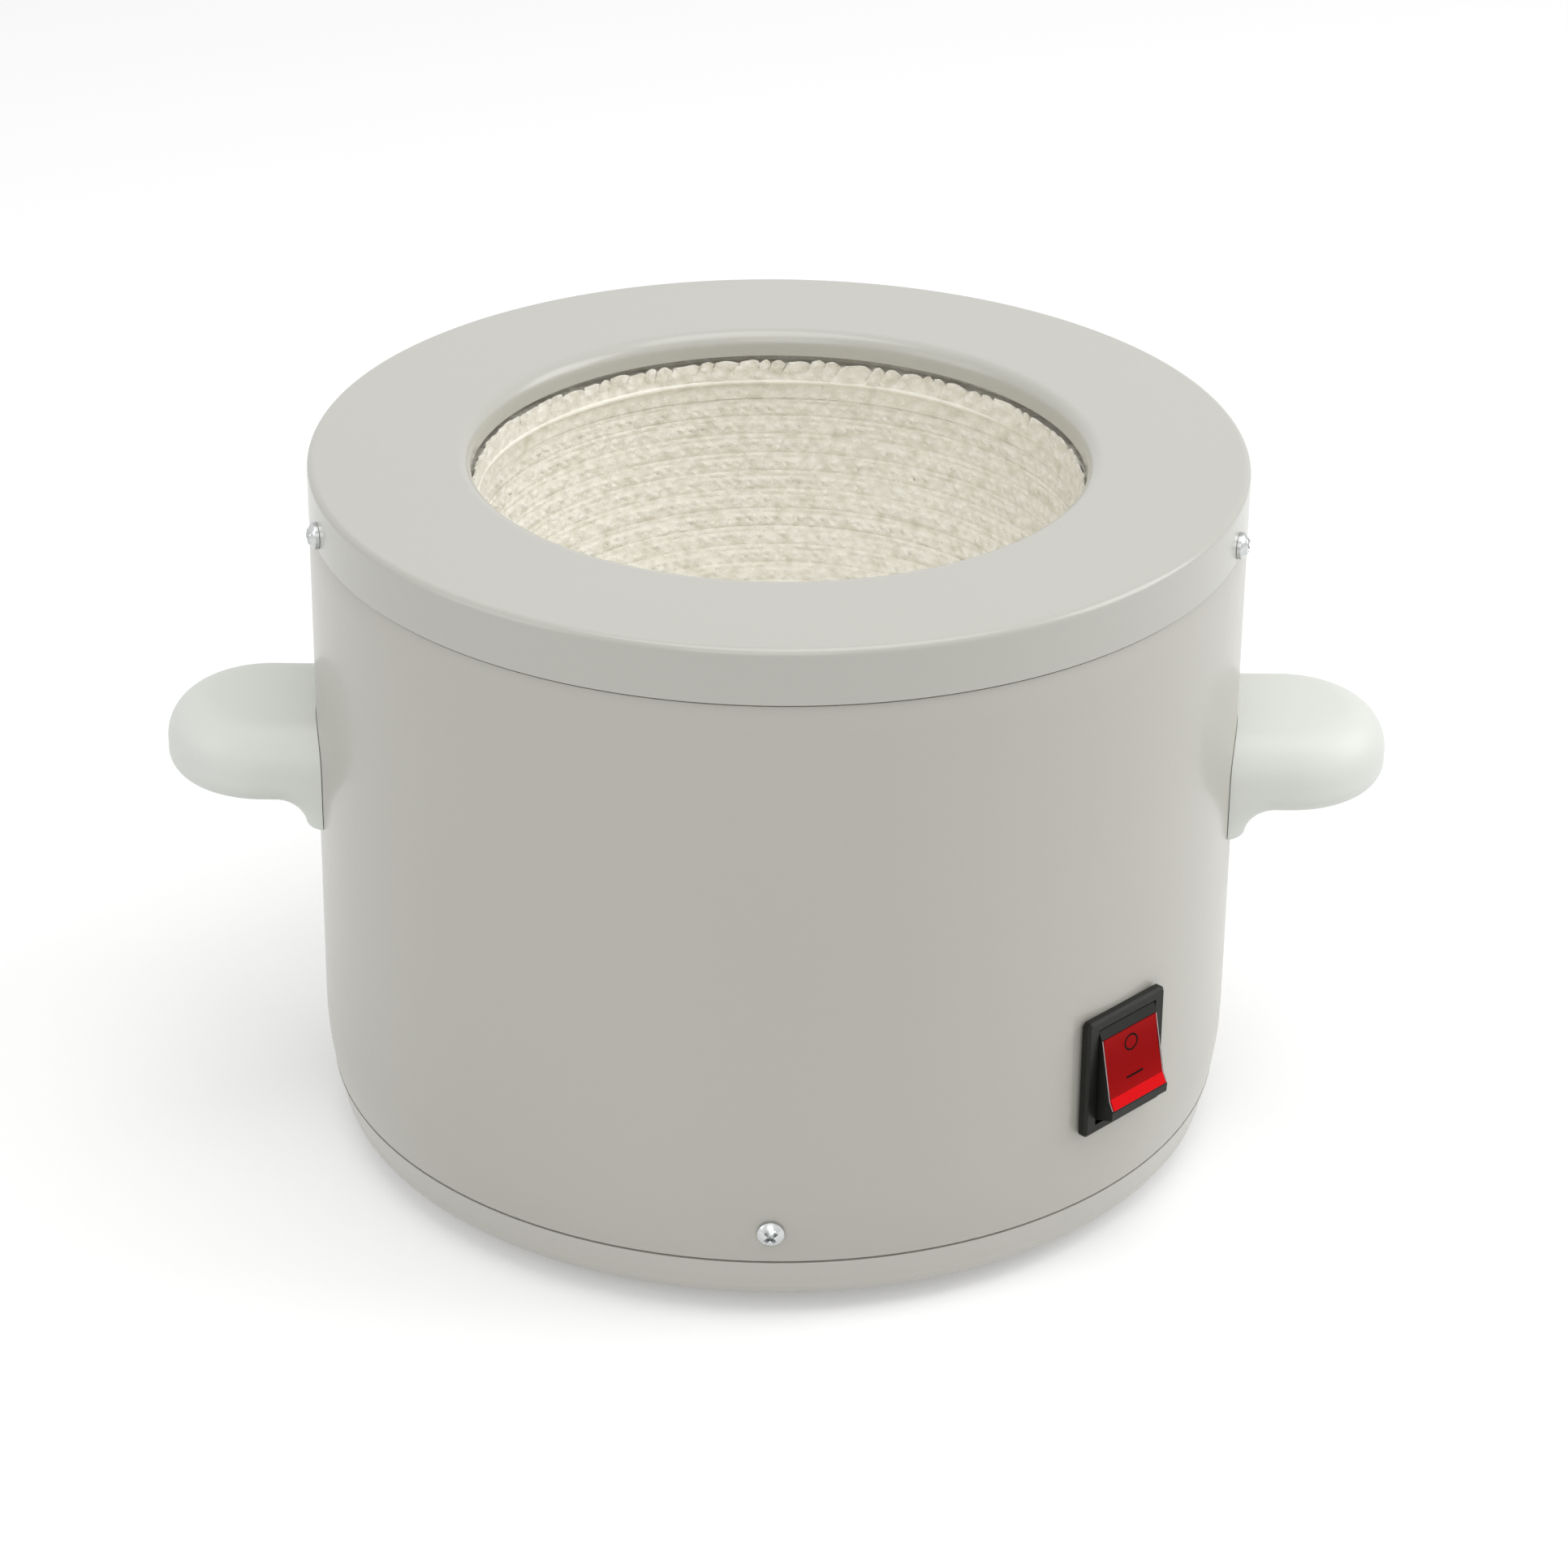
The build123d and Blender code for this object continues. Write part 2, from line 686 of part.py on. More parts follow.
# --- Switch lens: red, snapped into the rocker's face, with a grip across its lower end ---
with BuildPart() as switch_lens:
    lens_face = rocker_rise + lens_proud
    with BuildSketch(rocker_plane):
        with BuildLine():
            Polyline(
                (lens_face, grip_length - lens_half),
                (lens_face + grip_rise, -lens_half),
                (lens_back, -lens_half),
                (lens_back, lens_half),
                (lens_face, lens_half),
            )
            ThreePointArc(
                (lens_face, lens_half),
                (lens_face - lens_dish, grip_length / 2),
                (lens_face, grip_length - lens_half),
            )
        make_face()
    extrude(amount=lens_half_width, both=True)
switch_lens.part.label = "switch_lens"

with BuildPart() as switch_blades:
    with BuildSketch(switch_seat.offset(-housing_depth)):
        with GridLocations(2 * blade_spread_x, 2 * blade_spread_y, 2, 2):
            Rectangle(blade_thickness, blade_width)
    extrude(amount=-blade_length)
switch_blades.part.label = "switch_blades"

# --- Appliance inlet: flanged moulding with a shaped mouth, three pins, screws and nuts ---
inlet_front = inlet_seat.offset(inlet_flange_thickness)
inlet_pin_places = (
    (-earth_pin_offset / 2, -pin_pitch),
    (-earth_pin_offset / 2, pin_pitch),
    (earth_pin_offset / 2, 0),
)
tub_depth = inlet_mouth_depth + inlet_back - inlet_flange_thickness
with BuildPart() as inlet_housing:
    with BuildSketch(inlet_seat):
        RectangleRounded(inlet_flange_width, inlet_flange_height, inlet_flange_corner)
    extrude(amount=inlet_flange_thickness)
    chamfer(inlet_housing.faces().sort_by(seat_axis(inlet_seat))[-1].edges(), bezel_edge)
    with BuildSketch(inlet_seat):
        Rectangle(inlet_tub_width, inlet_tub_height)
    extrude(amount=-tub_depth)
    with BuildSketch(inlet_front) as mouth:
        Rectangle(inlet_mouth_width, inlet_mouth_height)
        chamfer(mouth.vertices().group_by(Axis.X)[0], inlet_mouth_chamfer)
    extrude(amount=-inlet_mouth_depth, mode=Mode.SUBTRACT)
    with BuildSketch(inlet_front):
        with Locations(*inlet_pin_places):
            Rectangle(pin_width + 2 * insert_clearance, pin_thickness + 2 * insert_clearance)
    extrude(amount=-inlet_mouth_depth - inlet_back, mode=Mode.SUBTRACT)
    for height in (-inlet_screw_spacing / 2, inlet_screw_spacing / 2):
        with Locations(inlet_front * Location((0, height, 0))):
            CounterSinkHole(
                inlet_screw_radius + screw_hole_clearance,
                inlet_screw_head_radius + screw_hole_clearance,
                inlet_flange_thickness,
            )
inlet_housing.part.label = "inlet_housing"

with BuildPart() as inlet_pins:
    with BuildSketch(inlet_front.offset(pin_length - inlet_mouth_depth)):
        with Locations(*inlet_pin_places):
            Rectangle(pin_width, pin_thickness)
    extrude(amount=-pin_length - inlet_back - pin_tail_length)
inlet_pins.part.label = "inlet_pins"

with BuildPart() as countersunk_screw:
    with BuildSketch(Plane.XZ):
        with BuildLine():
            Polyline(
                (0, 0),
                (inlet_screw_head_radius, 0),
                (inlet_screw_radius, -inlet_screw_head_depth),
                (inlet_screw_radius, -inlet_screw_length),
                (0, -inlet_screw_length),
                close=True,
            )
        make_face()
    revolve(axis=Axis.Z)

with BuildPart() as inlet_screws:
    for height in (-inlet_screw_spacing / 2, inlet_screw_spacing / 2):
        with Locations(inlet_front.offset(-seat_gap) * Location((0, height, 0))):
            add(countersunk_screw.part)
inlet_screws.part.label = "inlet_screws"

inlet_nut_seat = flat_inside(body_radius - sheet, nut_across_flats / 2)
small_nut = hex_nut(nut_across_flats, nut_height, inlet_screw_radius + seat_gap)
with BuildPart() as inlet_nuts:
    for height in (-inlet_screw_spacing / 2, inlet_screw_spacing / 2):
        with Locations(inner_plane(inlet_azimuth, inlet_nut_seat, inlet_height + height)):
            add(small_nut)
inlet_nuts.part.label = "inlet_nuts"

# --- Heating cup: knitted glass fibre, its rows raised round the bowl, its hem laid flat --
row_angle = radians(90 / cup_rows)
cup_hem_bottom = cup_rim_height - cup_flange_thickness
with BuildPart() as heating_cup:
    with BuildSketch(Plane.XZ):
        with BuildLine():
            rows = []
            for step in range(2 * cup_rows + 1):
                reach = cup_radius + (cup_row_relief if step % 2 == 0 else 0)
                angle = step * row_angle / 2
                rows.append((reach * cos(angle), cup_centre_height - reach * sin(angle)))
            rows[-1] = (0, rows[-1][1])
            Polyline(*rows)
            Polyline(
                rows[0],
                (flask_hole_radius + seat_gap, cup_rim_height),
                (cup_flange_radius, cup_rim_height),
                (cup_flange_radius, cup_hem_bottom),
                (cup_outer_radius, cup_hem_bottom),
                (cup_outer_radius, cup_centre_height),
            )
            RadiusArc(
                (cup_outer_radius, cup_centre_height),
                (0, cup_centre_height - cup_outer_radius),
                cup_outer_radius,
            )
            Line((0, cup_centre_height - cup_outer_radius), rows[-1])
        make_face()
    revolve(axis=Axis.Z)
heating_cup.part.label = "heating_cup"

# --- Insulation: a moulded fibre block between the cup and the inner pan ------------------
pan_inner_radius = pan_radius - pan_sheet
block_radius = pan_inner_radius - insulation_gap
block_bottom = pan_bottom_height + pan_sheet + insulation_gap
block_bend = pan_bend_radius - pan_sheet - insulation_gap
with BuildPart() as insulation:
    with BuildSketch(Plane.XZ):
        with BuildLine():
            Line((0, block_bottom), (block_radius - block_bend, block_bottom))
            RadiusArc(
                (block_radius - block_bend, block_bottom),
                (block_radius, block_bottom + block_bend),
                -block_bend,
            )
            Polyline(
                (block_radius, block_bottom + block_bend),
                (block_radius, insulation_top),
                (insulation_radius, insulation_top),
                (insulation_radius, cup_centre_height),
            )
            RadiusArc(
                (insulation_radius, cup_centre_height),
                (0, cup_centre_height - insulation_radius),
                insulation_radius,
            )
            Line((0, cup_centre_height - insulation_radius), (0, block_bottom))
        make_face()
    revolve(axis=Axis.Z)
insulation.part.label = "insulation"

# --- Inner pan: spun aluminium, hung by its flange from the top edge of the body ----------
pan_bend_inner = pan_bend_radius - pan_sheet
pan_floor = pan_bottom_height + pan_sheet
with BuildPart() as inner_pan:
    with BuildSketch(Plane.XZ):
        with BuildLine():
            Line((0, pan_bottom_height), (pan_radius - pan_bend_radius, pan_bottom_height))
            RadiusArc(
                (pan_radius - pan_bend_radius, pan_bottom_height),
                (pan_radius, pan_bottom_height + pan_bend_radius),
                -pan_bend_radius,
            )
            Polyline(
                (pan_radius, pan_bottom_height + pan_bend_radius),
                (pan_radius, pan_flange_bottom),
                (pan_flange_radius, pan_flange_bottom),
                (pan_flange_radius, pan_flange_top),
                (pan_inner_radius, pan_flange_top),
                (pan_inner_radius, pan_floor + pan_bend_inner),
            )
            RadiusArc(
                (pan_inner_radius, pan_floor + pan_bend_inner),
                (pan_inner_radius - pan_bend_inner, pan_floor),
                pan_bend_inner,
            )
            Polyline(
                (pan_inner_radius - pan_bend_inner, pan_floor),
                (0, pan_floor),
                (0, pan_bottom_height),
            )
        make_face()
    revolve(axis=Axis.Z)
    with BuildSketch(Plane.XY.offset(pan_bottom_height)):
        with GridLocations(cutout_stud_spacing, 0, 2, 1):
            Circle(stud_radius)
    extrude(amount=-stud_length)
inner_pan.part.label = "inner_pan"

# --- Packing over the hem and gasket over the pan's flange --------------------------------
cover_underside = overall_height - sheet - seat_gap
with BuildPart() as packing_ring:
    with BuildSketch(Plane.XY.offset(cup_rim_height + seat_gap)):
        Circle(block_radius)
        Circle(flask_hole_radius + lip_bend_radius + insulation_gap, mode=Mode.SUBTRACT)
    extrude(amount=cover_underside - cup_rim_height - seat_gap)
packing_ring.part.label = "packing_ring"

with BuildPart() as cover_gasket:
    with BuildSketch(Plane.XY.offset(pan_flange_top + seat_gap)):
        Circle(pan_flange_radius)
        Circle(pan_flange_radius - gasket_width, mode=Mode.SUBTRACT)
    extrude(amount=cover_underside - pan_flange_top - seat_gap)
cover_gasket.part.label = "cover_gasket"

# --- Heating element: resistance tape that runs to and fro round the back of the cup ------
tape_half_angle = degrees(tape_width / 2 / tape_inner)
tape_sweep = 360 - tape_end_gap
with BuildPart() as heating_element:
    for turn in range(element_turns):
        row = element_top_angle + turn * element_pitch_angle
        runs = [(row - tape_half_angle, row + tape_half_angle, 0, tape_sweep)]
        if turn + 1 < element_turns:
            link_start = 0 if turn % 2 else tape_sweep - tape_link_sweep
            runs.append((row, row + element_pitch_angle, link_start, tape_link_sweep))
        for upper, lower, start, sweep in runs:
            with BuildSketch(side_plane(wall_plane(start, 0, cup_centre_height))):
                with BuildLine():
                    inner_edge = CenterArc((0, 0), tape_inner, -lower, lower - upper)
                    outer_edge = CenterArc((0, 0), tape_outer, -lower, lower - upper)
                    Line(inner_edge @ 0, outer_edge @ 0)
                    Line(inner_edge @ 1, outer_edge @ 1)
                make_face()
            revolve(axis=Axis.Z, revolution_arc=sweep)
heating_element.part.label = "heating_element"

# --- Thermal cut-out clamped under the inner pan -------------------------------------------
cutout_seat = Plane.XY.offset(pan_bottom_height - seat_gap)
with BuildPart() as thermal_cutout:
    with BuildSketch(cutout_seat):
        SlotOverall(2 * cutout_ear_half, cutout_ear_width)
        Circle(cutout_radius)
        with GridLocations(cutout_stud_spacing, 0, 2, 1):
            Circle(stud_radius + screw_hole_clearance, mode=Mode.SUBTRACT)
    extrude(amount=-cutout_ear_thickness)
    with BuildSketch(cutout_seat):
        Circle(cutout_radius)
    extrude(amount=-cutout_height)
    with BuildSketch(cutout_seat.offset(-cutout_height)):
        with GridLocations(cutout_radius, 0, 2, 1):
            Rectangle(blade_thickness, blade_width)
    extrude(amount=-blade_length)
thermal_cutout.part.label = "thermal_cutout"

with BuildPart() as cutout_nuts:
    for x in (-cutout_stud_spacing / 2, cutout_stud_spacing / 2):
        drop = seat_gap + cutout_ear_thickness + seat_gap + nut_height
        with Locations((x, 0, pan_bottom_height - drop)):
            add(hex_nut(nut_across_flats, nut_height, stud_radius + seat_gap))
cutout_nuts.part.label = "cutout_nuts"

# --- Terminal block: ceramic, three ways, screwed down to the base pan ---------------------
block_seat = Plane.XY.offset(base_floor + seat_gap)
block_top = base_floor + seat_gap + terminal_block_height
block_screw_length = terminal_block_height + 2 * seat_gap + sheet + block_screw_reach
way_height = base_floor + terminal_way_rise
with BuildPart() as terminal_block:
    with BuildSketch(block_seat):
        with Locations((terminal_block_x, terminal_block_y)):
            Rectangle(terminal_block_length, terminal_block_width)
    extrude(amount=terminal_block_height)
    chamfer(terminal_block.faces().sort_by(Axis.Z)[-1].edges(), bezel_edge)
    with Locations((terminal_block_x, terminal_block_y, way_height)):
        with GridLocations(terminal_way_pitch, 0, terminal_ways, 1):
            Cylinder(
                terminal_bore_radius,
                2 * terminal_block_width,
                rotation=(90, 0, 0),
                mode=Mode.SUBTRACT,
            )
    with Locations((terminal_block_x, terminal_block_y, block_top)):
        with GridLocations(terminal_way_pitch, 0, terminal_ways, 1):
            Hole(terminal_screw_radius + screw_hole_clearance, block_top - way_height)
        with GridLocations(terminal_way_pitch, 0, 2, 1):
            Hole(block_screw_radius + screw_hole_clearance)
terminal_block.part.label = "terminal_block"

with BuildPart() as terminal_screws:
    with Locations((terminal_block_x, terminal_block_y, block_top)):
        with GridLocations(terminal_way_pitch, 0, terminal_ways, 1):
            Cylinder(
                terminal_screw_radius,
                terminal_screw_length,
                align=(Align.CENTER, Align.CENTER, Align.MAX),
            )
terminal_screws.part.label = "terminal_screws"

with BuildPart() as block_screws:
    with Locations((terminal_block_x, terminal_block_y, block_top + seat_gap)):
        with GridLocations(terminal_way_pitch, 0, 2, 1):
            add(
                pan_head_screw(
                    case_screw_head_radius,
                    case_screw_head_height,
                    block_screw_radius,
                    block_screw_length,
                )
            )
block_screws.part.label = "block_screws"

# --- Earth bolt: head under the base pan, nut on top ----------------------------------------
with BuildPart() as earth_bolt:
    with Locations(Plane(origin=(earth_x, earth_y, base_bottom - seat_gap), z_dir=(0, 0, -1))):
        add(
            pan_head_screw(
                handle_screw_head_radius,
                handle_screw_head_height,
                earth_bolt_radius,
                earth_bolt_length,
            )
        )
earth_bolt.part.label = "earth_bolt"

large_nut = hex_nut(earth_nut_flats, earth_nut_height, earth_bolt_radius + seat_gap)
with BuildPart() as earth_nut:
    with Locations((earth_x, earth_y, base_floor + seat_gap)):
        add(large_nut)
earth_nut.part.label = "earth_nut"

# --- Feet: rubber, each with a sunk screw and a nut inside the pan --------------------------
foot_places = [
    (foot_circle_radius * cos(radians(azimuth)), foot_circle_radius * sin(radians(azimuth)))
    for azimuth in foot_azimuths
]
with BuildPart() as foot:
    with BuildSketch():
        Circle(foot_bottom_radius)
    with BuildSketch(Plane.XY.offset(foot_height - seat_gap)):
        Circle(foot_top_radius)
    loft()
    Hole(foot_hole_radius)
    Cylinder(
        foot_screw_head_radius + joggle_clearance,
        foot_recess_depth,
        align=(Align.CENTER, Align.CENTER, Align.MIN),
        mode=Mode.SUBTRACT,
    )

with BuildPart() as feet:
    with Locations(*foot_places):
        add(foot.part)
feet.part.label = "feet"

with BuildPart() as foot_screws:
    for x, y in foot_places:
        seat = Plane(origin=(x, y, foot_recess_depth - seat_gap), z_dir=(0, 0, -1))
        with Locations(seat):
            add(
                pan_head_screw(
                    foot_screw_head_radius,
                    foot_screw_head_height,
                    foot_screw_radius,
                    foot_screw_length,
                )
            )
foot_screws.part.label = "foot_screws"

with BuildPart() as foot_nuts:
    for x, y in foot_places:
        with Locations((x, y, base_floor + seat_gap)):
            add(large_nut)
foot_nuts.part.label = "foot_nuts"

# --- Write each piece -----------------------------------------------------------------------
os.makedirs("parts", exist_ok=True)
for piece in (
    top_cover,
    body_shell,
    base_pan,
    cover_screws,
    base_screws,
    cover_clip_nuts,
    base_clip_nuts,
    handle_right,
    handle_left,
    handle_inserts,
    handle_screws,
    handle_washers,
    switch_housing,
    switch_rocker,
    switch_lens,
    switch_blades,
    inlet_housing,
    inlet_pins,
    inlet_screws,
    inlet_nuts,
    heating_cup,
    insulation,
    inner_pan,
    packing_ring,
    cover_gasket,
    heating_element,
    thermal_cutout,
    cutout_nuts,
    terminal_block,
    terminal_screws,
    block_screws,
    earth_bolt,
    earth_nut,
    feet,
    foot_screws,
    foot_nuts,
):
    export_step(piece.part, f"parts/{piece.part.label}.step")
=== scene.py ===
"""Dresses the heating mantle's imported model: enamel, mouldings, metal and the knitted cup."""

import random
from math import atan2, cos, hypot, pi, radians, sin, sqrt

import bmesh
import bpy
from mathutils import Matrix, Vector


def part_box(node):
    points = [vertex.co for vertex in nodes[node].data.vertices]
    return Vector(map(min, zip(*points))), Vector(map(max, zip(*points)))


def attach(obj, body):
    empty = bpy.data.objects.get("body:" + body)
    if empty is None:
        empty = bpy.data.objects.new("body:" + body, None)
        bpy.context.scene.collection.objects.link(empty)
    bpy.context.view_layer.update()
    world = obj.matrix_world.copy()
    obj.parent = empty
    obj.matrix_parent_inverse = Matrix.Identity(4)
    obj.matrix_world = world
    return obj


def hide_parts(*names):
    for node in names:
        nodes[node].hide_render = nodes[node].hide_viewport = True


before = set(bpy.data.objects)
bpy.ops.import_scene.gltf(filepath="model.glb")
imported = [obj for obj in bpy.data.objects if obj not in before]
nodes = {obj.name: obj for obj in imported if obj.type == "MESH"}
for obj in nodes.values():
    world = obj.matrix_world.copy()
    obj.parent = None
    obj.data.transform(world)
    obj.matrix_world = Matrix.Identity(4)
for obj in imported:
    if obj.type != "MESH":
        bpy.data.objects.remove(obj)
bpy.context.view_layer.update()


# --- Body shell and base pan ----------------------------------------------------------
# Rolled steel sheet, closed below by a pressed pan, both stoved in a warm grey enamel:
# semi-gloss, with a faint orange peel and slightly uneven depth of colour.
orange_peel = 0.00004


class Shade:
    """What one output of a node gives. Sums on it add the Math nodes."""

    def __init__(self, tree, socket=None):
        self.tree = tree
        self.socket = socket

    def node(self, kind, settings=None, inputs=None, output=0):
        """Add a node: its own settings first, then the values or links of its sockets."""
        node = self.tree.nodes.new("ShaderNode" + kind)
        for name, value in (settings or {}).items():
            setattr(node, name, value)
        for name, value in (inputs or {}).items():
            if isinstance(value, Shade):
                self.tree.links.new(value.socket, node.inputs[name])
            else:
                node.inputs[name].default_value = value
        return Shade(self.tree, node.outputs[output] if node.outputs else None)

    def maths(self, operation, first, second):
        return self.node("Math", {"operation": operation}, {0: first, 1: second})

    def __add__(self, other):
        return self.maths("ADD", self, other)

    def __radd__(self, other):
        return self.maths("ADD", other, self)

    def __sub__(self, other):
        return self.maths("SUBTRACT", self, other)

    def __rsub__(self, other):
        return self.maths("SUBTRACT", other, self)

    def __mul__(self, other):
        return self.maths("MULTIPLY", self, other)

    def __rmul__(self, other):
        return self.maths("MULTIPLY", other, self)


def tint(red, green, blue):
    """A colour written as a painter reads it, 0 to 255, in the renderer's linear scale."""
    scaled = [value / 255 for value in (red, green, blue)]
    linear = [v / 12.92 if v <= 0.04045 else ((v + 0.055) / 1.055) ** 2.4 for v in scaled]
    return (*linear, 1.0)


def start_finish(name, **constants):
    """A new material: its shader with the constant sockets set, and a hand to add nodes with."""
    material = bpy.data.materials.new(name)
    material.use_nodes = True
    shader = material.node_tree.nodes["Principled BSDF"]
    for socket, value in constants.items():
        shader.inputs[socket.replace("_", " ")].default_value = value
    return material, shader, Shade(material.node_tree)


def feed(shader, socket, value):
    """Lead a shade into one socket of a material's shader."""
    value.tree.links.new(value.socket, shader.inputs[socket])


def noise(hand, scale, detail=2.0):
    """Noise through the piece's own space, about 0.5 on average; scale is in cells per metre."""
    spot = hand.node("TexCoord", output="Object")
    return hand.node("TexNoise", None, {"Vector": spot, "Scale": scale, "Detail": detail})


def mix(hand, factor, first, second):
    """A colour between two colours."""
    return hand.node("Mix", {"data_type": "RGBA"}, {0: factor, 6: first, 7: second}, output=2)


def relief(hand, shader, height, distance):
    """Lead a height into the shader's normal; distance is the height of 1, in metres."""
    bump = hand.node("Bump", None, {"Height": height, "Distance": distance, "Strength": 1.0})
    feed(shader, "Normal", bump)


def enamel(name, colour, deeper, roughness, coat):
    """Stoved enamel over sheet metal."""
    material, shader, hand = start_finish(
        name, Coat_Weight=coat, Coat_Roughness=0.12, Specular_IOR_Level=0.5
    )
    feed(shader, "Base Color", mix(hand, noise(hand, 9.0), colour, deeper))
    feed(shader, "Roughness", noise(hand, 60.0) * 0.08 + (roughness - 0.04))
    relief(hand, shader, noise(hand, 420.0, 1.0), orange_peel)
    return material


def dress(material, *names):
    """Give CAD nodes a material."""
    for name in names:
        mesh = nodes[name].data
        mesh.materials.clear()
        mesh.materials.append(material)


body_enamel = enamel("body_enamel", tint(188, 186, 177), tint(184, 182, 173), 0.34, 0.3)
dress(body_enamel, "body_shell")
# The pan's copy of the enamel is painted a shade lighter: painted light on its down-facing side.
pan_enamel_painted_lighter = enamel("pan_enamel_painted_lighter", tint(196, 194, 186), tint(193, 191, 183), 0.36, 0.3)
dress(pan_enamel_painted_lighter, "base_pan")


# --- Top cover ------------------------------------------------------------------------
# A pressed ring with a skirt over the body and a lip turned down into the opening, in
# the same grey enamel with a little more gloss. Three screws hold it to the body.
cover_enamel = enamel("cover_enamel", tint(188, 187, 179), tint(185, 184, 176), 0.3, 0.45)

cover_sheet = 0.0012
cover_corner = 0.0015
lip_radius = 0.0672
lip_bend = 0.0032
lip_depth = 0.0056
beside_bend = 0.0003  # loops beside each bend keep the flats flat in shading
bend_steps = 8
cover_steps = 256
crease = radians(38)  # an edge that turns more than this stays sharp in shading
weld = 1e-6  # points nearer to each other than this become one
low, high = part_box("top_cover")
skirt_radius = high[0]


def bend(centre_x, centre_z, radius, start):
    """Points along a quarter turn about a centre, clockwise from a start angle in degrees."""
    turns = [radians(start - 90 * step / bend_steps) for step in range(bend_steps + 1)]
    return [(centre_x + radius * cos(turn), centre_z + radius * sin(turn)) for turn in turns]


def finish_piece(bm, name, material, body="case", smooth=True):
    """Turn a bmesh into a piece that rides on a body."""
    bmesh.ops.recalc_face_normals(bm, faces=bm.faces)
    mesh = bpy.data.meshes.new(name)
    bm.to_mesh(mesh)
    bm.free()
    piece = bpy.data.objects.new(name, mesh)
    bpy.context.scene.collection.objects.link(piece)
    mesh.materials.append(material)
    if smooth:
        mesh.shade_smooth()
        mesh.set_sharp_from_angle(angle=crease)
    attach(piece, body)
    return piece


corner_x = skirt_radius - cover_corner
corner_z = high[2] - cover_corner
lip_x = lip_radius + lip_bend
lip_z = high[2] - lip_bend
inside_radius = skirt_radius - cover_sheet
inside_top = high[2] - cover_sheet
section = [(inside_radius, low[2]), (inside_radius, inside_top), (lip_x, inside_top)]
section += bend(lip_x, lip_z, lip_bend - cover_sheet, 180)[-2::-1]
section += [(lip_radius + cover_sheet, high[2] - lip_depth), (lip_radius, high[2] - lip_depth)]
section += [(lip_radius, lip_z - beside_bend)] + bend(lip_x, lip_z, lip_bend, 180)
section += [(lip_x + beside_bend, high[2]), (corner_x - beside_bend, high[2])]
section += bend(corner_x, corner_z, cover_corner, 90)
section += [(skirt_radius, corner_z - beside_bend), (skirt_radius, low[2])]
bm = bmesh.new()
points = [bm.verts.new((x, 0, z)) for x, z in section]
edges = [bm.edges.new((points[i - 1], points[i])) for i in range(len(points))]
bmesh.ops.spin(
    bm,
    geom=points + edges,
    cent=(0, 0, 0),
    axis=(0, 0, 1),
    angle=2 * pi,
    steps=cover_steps,
    use_merge=True,
)
bmesh.ops.remove_doubles(bm, verts=bm.verts, dist=weld)
cover_pressing = finish_piece(bm, "cover_pressing", cover_enamel)
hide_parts("top_cover")


# --- Cover screws and base screws -----------------------------------------------------
# Bright zinc-plated pan heads with a cross recess, driven through the sheet into clip
# nuts: three round the cover's skirt, three round the foot of the body.
zinc, shader, hand = start_finish("zinc_plate", Metallic=1.0)
feed(shader, "Base Color", mix(hand, noise(hand, 700.0), tint(214, 216, 216), tint(188, 190, 190)))
feed(shader, "Roughness", noise(hand, 1500.0) * 0.16 + 0.14)

head_radius = 0.0029
head_height = 0.0021
shank_radius = 0.00145
shank_length = 0.0075
head_sides = 36
edge_share = 0.4  # a head's upright edge and its dome, as shares of its height
dome_share = 0.6
dome_rings = (0.94, 0.84, 0.7, 0.62)  # rings on the dome, as shares of the head's radius
recess_reach = 0.0016
recess_half_width = 0.00042
recess_depth = 0.0011
recess_taper = 0.6
recess_sink = 0.00005  # from the dome's crown to the rim of the cross
cover_screw_azimuths = (-73.5, 73.5, 180)  # degrees from the front, to the right
base_screw_azimuths = (0, 120, 240)


def out_of_wall(azimuth, radius, height):
    """Turn and move a piece made on the XY plane so that its +Z points out of the case."""
    turn = Matrix.Rotation(radians(azimuth), 4, "Z")
    place = Matrix.Translation((0, -radius, height))
    return turn @ place @ Matrix.Rotation(radians(90), 4, "X")


def loop_of(geometry):
    """The edges among what an operator made."""
    return [edge for edge in geometry if isinstance(edge, bmesh.types.BMEdge)]


def points_of(geometry):
    """The points among what an operator made."""
    return [point for point in geometry if isinstance(point, bmesh.types.BMVert)]


def next_loop(bm, loop, radius_ratio, rise):
    """Carry a ring of edges on: a new ring, scaled about the Z axis and moved along it."""
    grown = bmesh.ops.extrude_edge_only(bm, edges=loop)["geom"]
    bmesh.ops.scale(bm, vec=(radius_ratio, radius_ratio, 1), verts=points_of(grown))
    bmesh.ops.translate(bm, vec=(0, 0, rise), verts=points_of(grown))
    return loop_of(grown)


